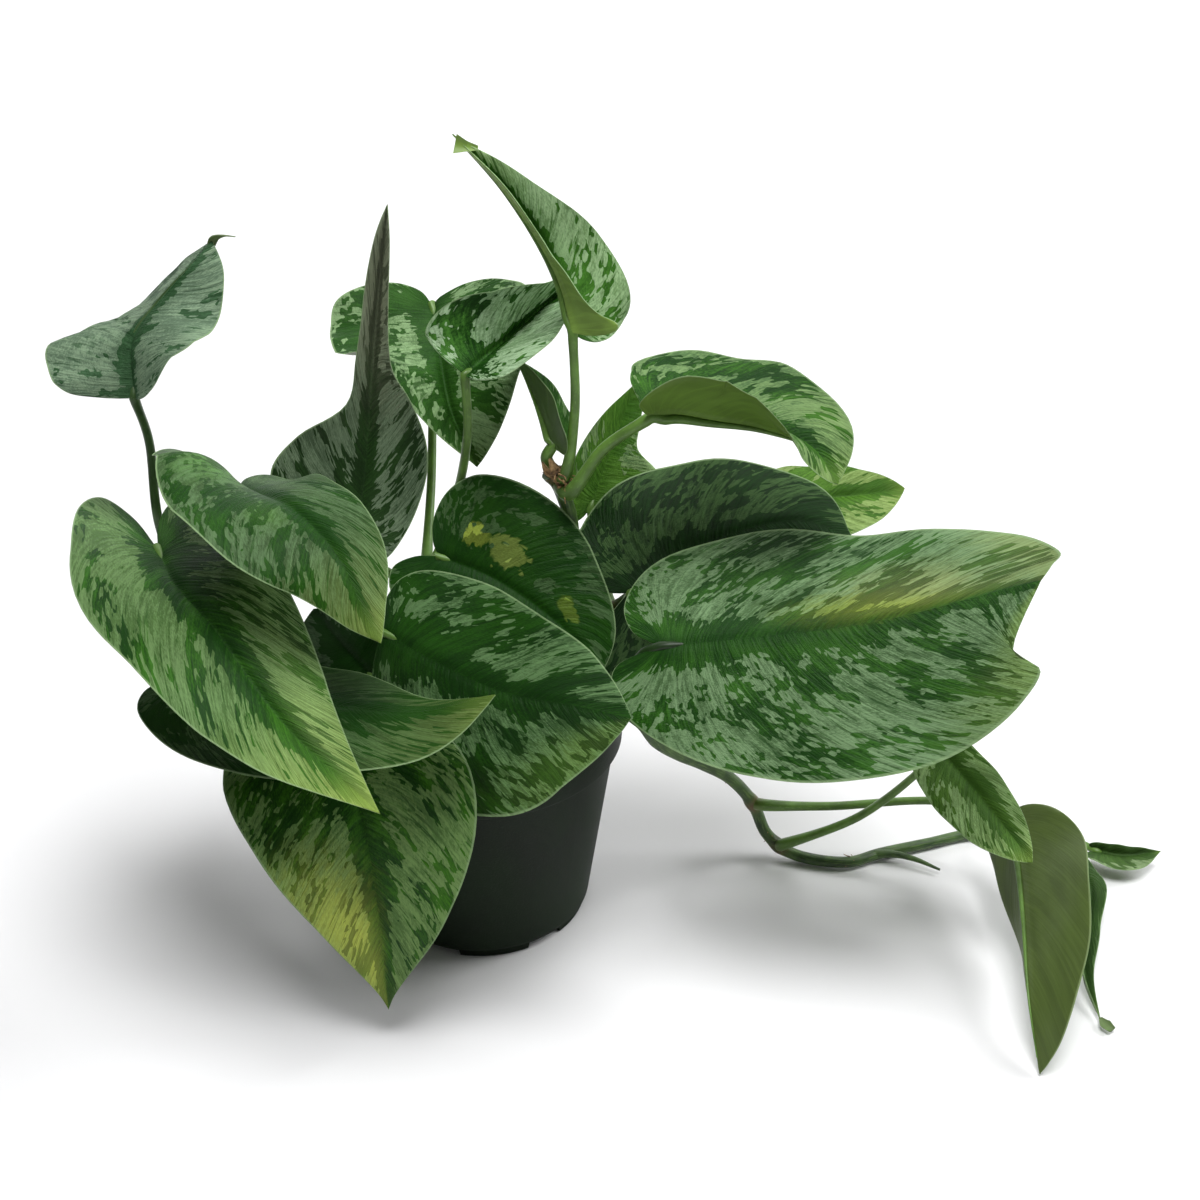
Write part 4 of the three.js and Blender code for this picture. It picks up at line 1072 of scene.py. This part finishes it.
vine_materials = [
    stem_material(),
    mottled_material("dried_sheath", 520.0, 4, ("#49351f", "#ab8b5e"), 0.8, 0.5, 0.0005),
]
leaf_feet = [np.array(leaf["petiole"][0], float) for leaf in LEAVES.values()]
tuft_draws = np.random.default_rng(5)
for name, stem in STEMS.items():
    route = Curve(stem["route"])
    shares = np.linspace(0, 1, max(20, int(route.length / STEM_STEP)))
    line = route.at(shares)
    radii = spread(stem["radius"], shares)
    marks = np.zeros(len(line))
    for foot in leaf_feet:
        gaps = np.linalg.norm(line - foot, axis=1)
        if gaps.min() < NODE_REACH:
            near = bell((shares - shares[gaps.argmin()]) * route.length, NODE_LENGTH)
            radii = radii * (1 + NODE_SWELL * near)
            marks = np.maximum(marks, near)
    builder = Builder()
    starts_level = abs(line[1][2] - line[0][2]) < 1
    tube(builder, line, radii, (0, 0, 1) if starts_level else (1, 0, 0), sides=20, share=marks)
    if "sheath" in stem:
        sheath = Curve(stem["sheath"]).at(np.linspace(0, 1, SHEATH_ROWS))
        tube(builder, sheath, np.linspace(*SHEATH_RADII, SHEATH_ROWS), (0, 0, 1), sides=16)
    for tuft in stem.get("tufts", []):
        add_tuft(builder, *tuft, tuft_draws)
    for dried_sheath in stem.get("dried", []):
        ribbon(builder, *dried_sheath)
    node = f"stem_{name}"
    piece = builder.object(f"{node}_grown", vine_materials, sharp=60)
    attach(piece, "root")
    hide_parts(node)

# -------------------- pot


def lathe(builder, profile, angles):
    """Turns a profile round Z. Each profile point is a radius and a height, or a function of angle."""
    rings = []
    for radius, height in profile:
        heights = height(angles) if callable(height) else np.full(len(angles), float(height))
        rings.append(np.stack([radius * np.cos(angles), radius * np.sin(angles), heights], -1))
    builder.grid(np.stack(rings), closed=True)


def arc(centre, radius, start, end, count):
    """Points of a lip, as radius and height pairs."""
    turns = np.radians(np.linspace(start, end, count))
    return [(centre[0] + radius * math.cos(t), centre[1] + radius * math.sin(t)) for t in turns]


NOTCH_PITCH = FULL_TURN / DRAIN_NOTCHES
NOTCH_HALF = math.asin(DRAIN_NOTCH_WIDTH / 2 / POT_FOOT_RADIUS)
NOTCH_LIFT = 0.02


def notch_height(angles):
    """How far the foot stands off the floor: more in the drain notches."""
    offset = (angles - NOTCH_PITCH * DRAIN_NOTCH_TURN + NOTCH_PITCH / 2) % NOTCH_PITCH - NOTCH_PITCH / 2
    inside = smooth_step(NOTCH_HALF + 0.004, NOTCH_HALF - 0.004, np.abs(offset))
    return NOTCH_LIFT + (DRAIN_NOTCH_HEIGHT - NOTCH_LIFT) * inside


def pot_angles():
    """Even steps round the pot, with closer ones at the sides of each notch."""
    edges = [
        NOTCH_PITCH * (notch + DRAIN_NOTCH_TURN) + side * NOTCH_HALF + step
        for notch in range(DRAIN_NOTCHES)
        for side in (-1, 1)
        for step in (-0.006, 0, 0.006)
    ]
    regular = np.linspace(0, FULL_TURN, POT_SIDES, endpoint=False)
    return np.unique(np.round(np.concatenate([regular, np.mod(edges, FULL_TURN)]), 5))


def pot_profile():
    foot = POT_FOOT_RADIUS
    wall_foot = POT_WALL_FOOT_RADIUS
    top = POT_TOP_RADIUS
    band_foot = POT_HEIGHT - POT_BAND_HEIGHT
    band = top + POT_BAND_STEP
    lip_radius = (band + POT_BAND_FLARE - top) / 2
    lip_height = POT_HEIGHT - lip_radius
    return [
        (0.01, 0.0),
        (foot - DRAIN_NOTCH_DEPTH - 0.02, 0.0),
        (foot - DRAIN_NOTCH_DEPTH, notch_height),
        (foot - 0.3, notch_height),
        (foot, lambda angles: notch_height(angles) + 0.3),
        (foot, POT_FOOT_HEIGHT - 0.4),
        (foot + 0.2, POT_FOOT_HEIGHT),
        (wall_foot - 0.3, POT_FOOT_HEIGHT),
        (wall_foot, POT_FOOT_HEIGHT + 0.5),
        (wall_foot + 0.2, POT_FOOT_HEIGHT + 1.5),
        (top - 0.1, band_foot - 1.0),
        (top + 0.3, band_foot),
        (band - 0.5, band_foot + 0.4),
        (band, band_foot + 1.2),
        (band + POT_BAND_FLARE, lip_height),
        *arc((top + lip_radius, lip_height), lip_radius, 15, 165, 9),
        (top - 0.2, lip_height - 1),
        (top - POT_WALL, band_foot),
        (wall_foot - POT_WALL, POT_FLOOR + 1),
        (wall_foot - POT_WALL - 1, POT_FLOOR),
        (0.01, POT_FLOOR),
    ]


builder = Builder()
lathe(builder, pot_profile(), pot_angles())
pot = builder.object("pot_moulded", [pot_material()], sharp=35)
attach(pot, "root")
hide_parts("pot")

# -------------------- soil


def soil_relief(x, y):
    lump = np.sin(x / 4.7) * np.cos(y / 4.7) + np.sin((x - y) / 2.9) / 2
    crumb = np.sin(x * 1.9 + np.sin(y * 1.3) * 2) * np.cos(y * 2.3 + np.sin(x * 1.7))
    return 1.5 * lump + 0.35 * crumb


def add_crumb(builder, centre, size, flat, rng, slot):
    """A rough six-sided crumb with its points pushed about."""
    angles = np.linspace(0, FULL_TURN, 6, endpoint=False) + rng.uniform(0, math.pi)
    rings = []
    for level, reach in ((-1, 0.55), (-0.3, 1), (0.4, 0.9), (1, 0.45)):
        wide = size * reach * rng.uniform(0.75, 1.2, 6)
        heights = np.full(6, level * size * flat)
        rings.append(np.stack([wide * np.cos(angles), wide * np.sin(angles) * 0.7, heights], -1) + centre)
    builder.rod(np.stack(rings), slot=slot)


def soil_piece():
    """The filling with its uneven top, and loose bark, with a bead of perlite for every fourth crumb."""
    rng = np.random.default_rng(11)
    builder = Builder()
    inside = POT_TOP_RADIUS - POT_WALL - SOIL_GAP
    foot = POT_WALL_FOOT_RADIUS - POT_WALL - SOIL_GAP
    bottom = POT_FLOOR + SOIL_GAP
    profile = [(0.05, bottom), (foot, bottom), (inside, POT_HEIGHT - POT_BAND_HEIGHT)]

    def top_ring(radius):
        level = smooth_step(inside, inside - 4, radius)
        return lambda angles: SOIL_TOP + soil_relief(radius * np.cos(angles), radius * np.sin(angles)) * level

    profile += [(radius, top_ring(radius)) for radius in np.linspace(0.05, inside, 46)[::-1]]
    lathe(builder, profile, np.linspace(0, FULL_TURN, SOIL_SIDES, endpoint=False))
    stems = [stem["route"][0] for stem in STEMS.values()]
    for index in range(SOIL_CRUMBS):
        radius = inside * math.sqrt(rng.uniform(0, 0.94))
        turn = rng.uniform(0, FULL_TURN)
        x, y = radius * math.cos(turn), radius * math.sin(turn)
        if min(math.hypot(x - stem[0], y - stem[1]) for stem in stems) < STEM_CLEARANCE:
            continue
        bark = index % 4 != 0
        size = rng.uniform(1.2, 3.4) if bark else rng.uniform(0.7, 1.5)
        centre = np.array([x, y, SOIL_TOP + soil_relief(x, y) + size * 0.15])
        add_crumb(builder, centre, size, 0.35 if bark else 0.8, rng, 1 if bark else 2)
    chips = mottled_material("bark_chip", 420.0, 4, ("#2b1d12", "#6f5236"), 0.9, 0.6, 0.0008)
    perlite = mottled_material("perlite", 900.0, 3, ("#c9c2b4", "#f1eee6"), 0.9, 0.5, 0.0005)
    return builder.object("soil_filled", [soil_material(), chips, perlite], sharp=40)


soil = soil_piece()
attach(soil, "root")
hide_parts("soil")

# -------------------- floor, light and camera


def make_floor():
    """A level floor that sweeps up into a backdrop behind the plant."""
    reach, bend, rise, radius = 3200.0, 1500.0, 2400.0, 600.0
    turns = np.linspace(0, math.pi / 2, 14)[1:]
    profile = [(-reach, 0.0), (bend, 0.0)]
    profile += [(bend + radius * math.sin(t), radius * (1 - math.cos(t))) for t in turns]
    profile += [(bend + radius, rise)]
    builder = Builder()
    builder.grid(np.array([[(x, y, z) for x in (-reach, reach)] for y, z in profile]), flip=True)
    floor = builder.object("studio_sweep", [floor_material()])


def make_light(name, place, aim, size, power):
    data = bpy.data.lights.new(name, "AREA")
    data.shape = "DISK"
    data.size = size
    data.energy = power
    light = link(name, data)
    light.location = place
    light.rotation_euler = (Vector(aim) - Vector(place)).to_track_quat("-Z", "Y").to_euler()


def make_camera():
    data = bpy.data.cameras.new("camera")
    data.lens = 51
    data.sensor_width = 36
    data.clip_start = 0.01
    data.clip_end = 20
    camera = link("camera", data)
    camera.location = (0.0467, -0.539, 0.4464)
    camera.rotation_euler = (math.radians(60), 0, 0)
    bpy.context.scene.camera = camera


def make_world(strength):
    world = bpy.data.worlds.new("studio")
    world.use_nodes = True
    background = world.node_tree.nodes["Background"]
    background.inputs[0].default_value = (1, 1, 1, 1)
    background.inputs[1].default_value = strength
    bpy.context.scene.world = world


make_floor()
make_light("key", (2.15, 0.35, 1.75), (0.05, 0, 0.1), 1.3, 42)
make_light("overhead", (0.15, -0.45, 2.35), (0, -0.1, 0), 1.2, 52)
make_light("backdrop", (0, 2.2, 1.7), (0, 2.8, 0), 2.6, 38)
make_camera()
make_world(0.1)
bpy.context.scene.view_settings.view_transform = "Standard"
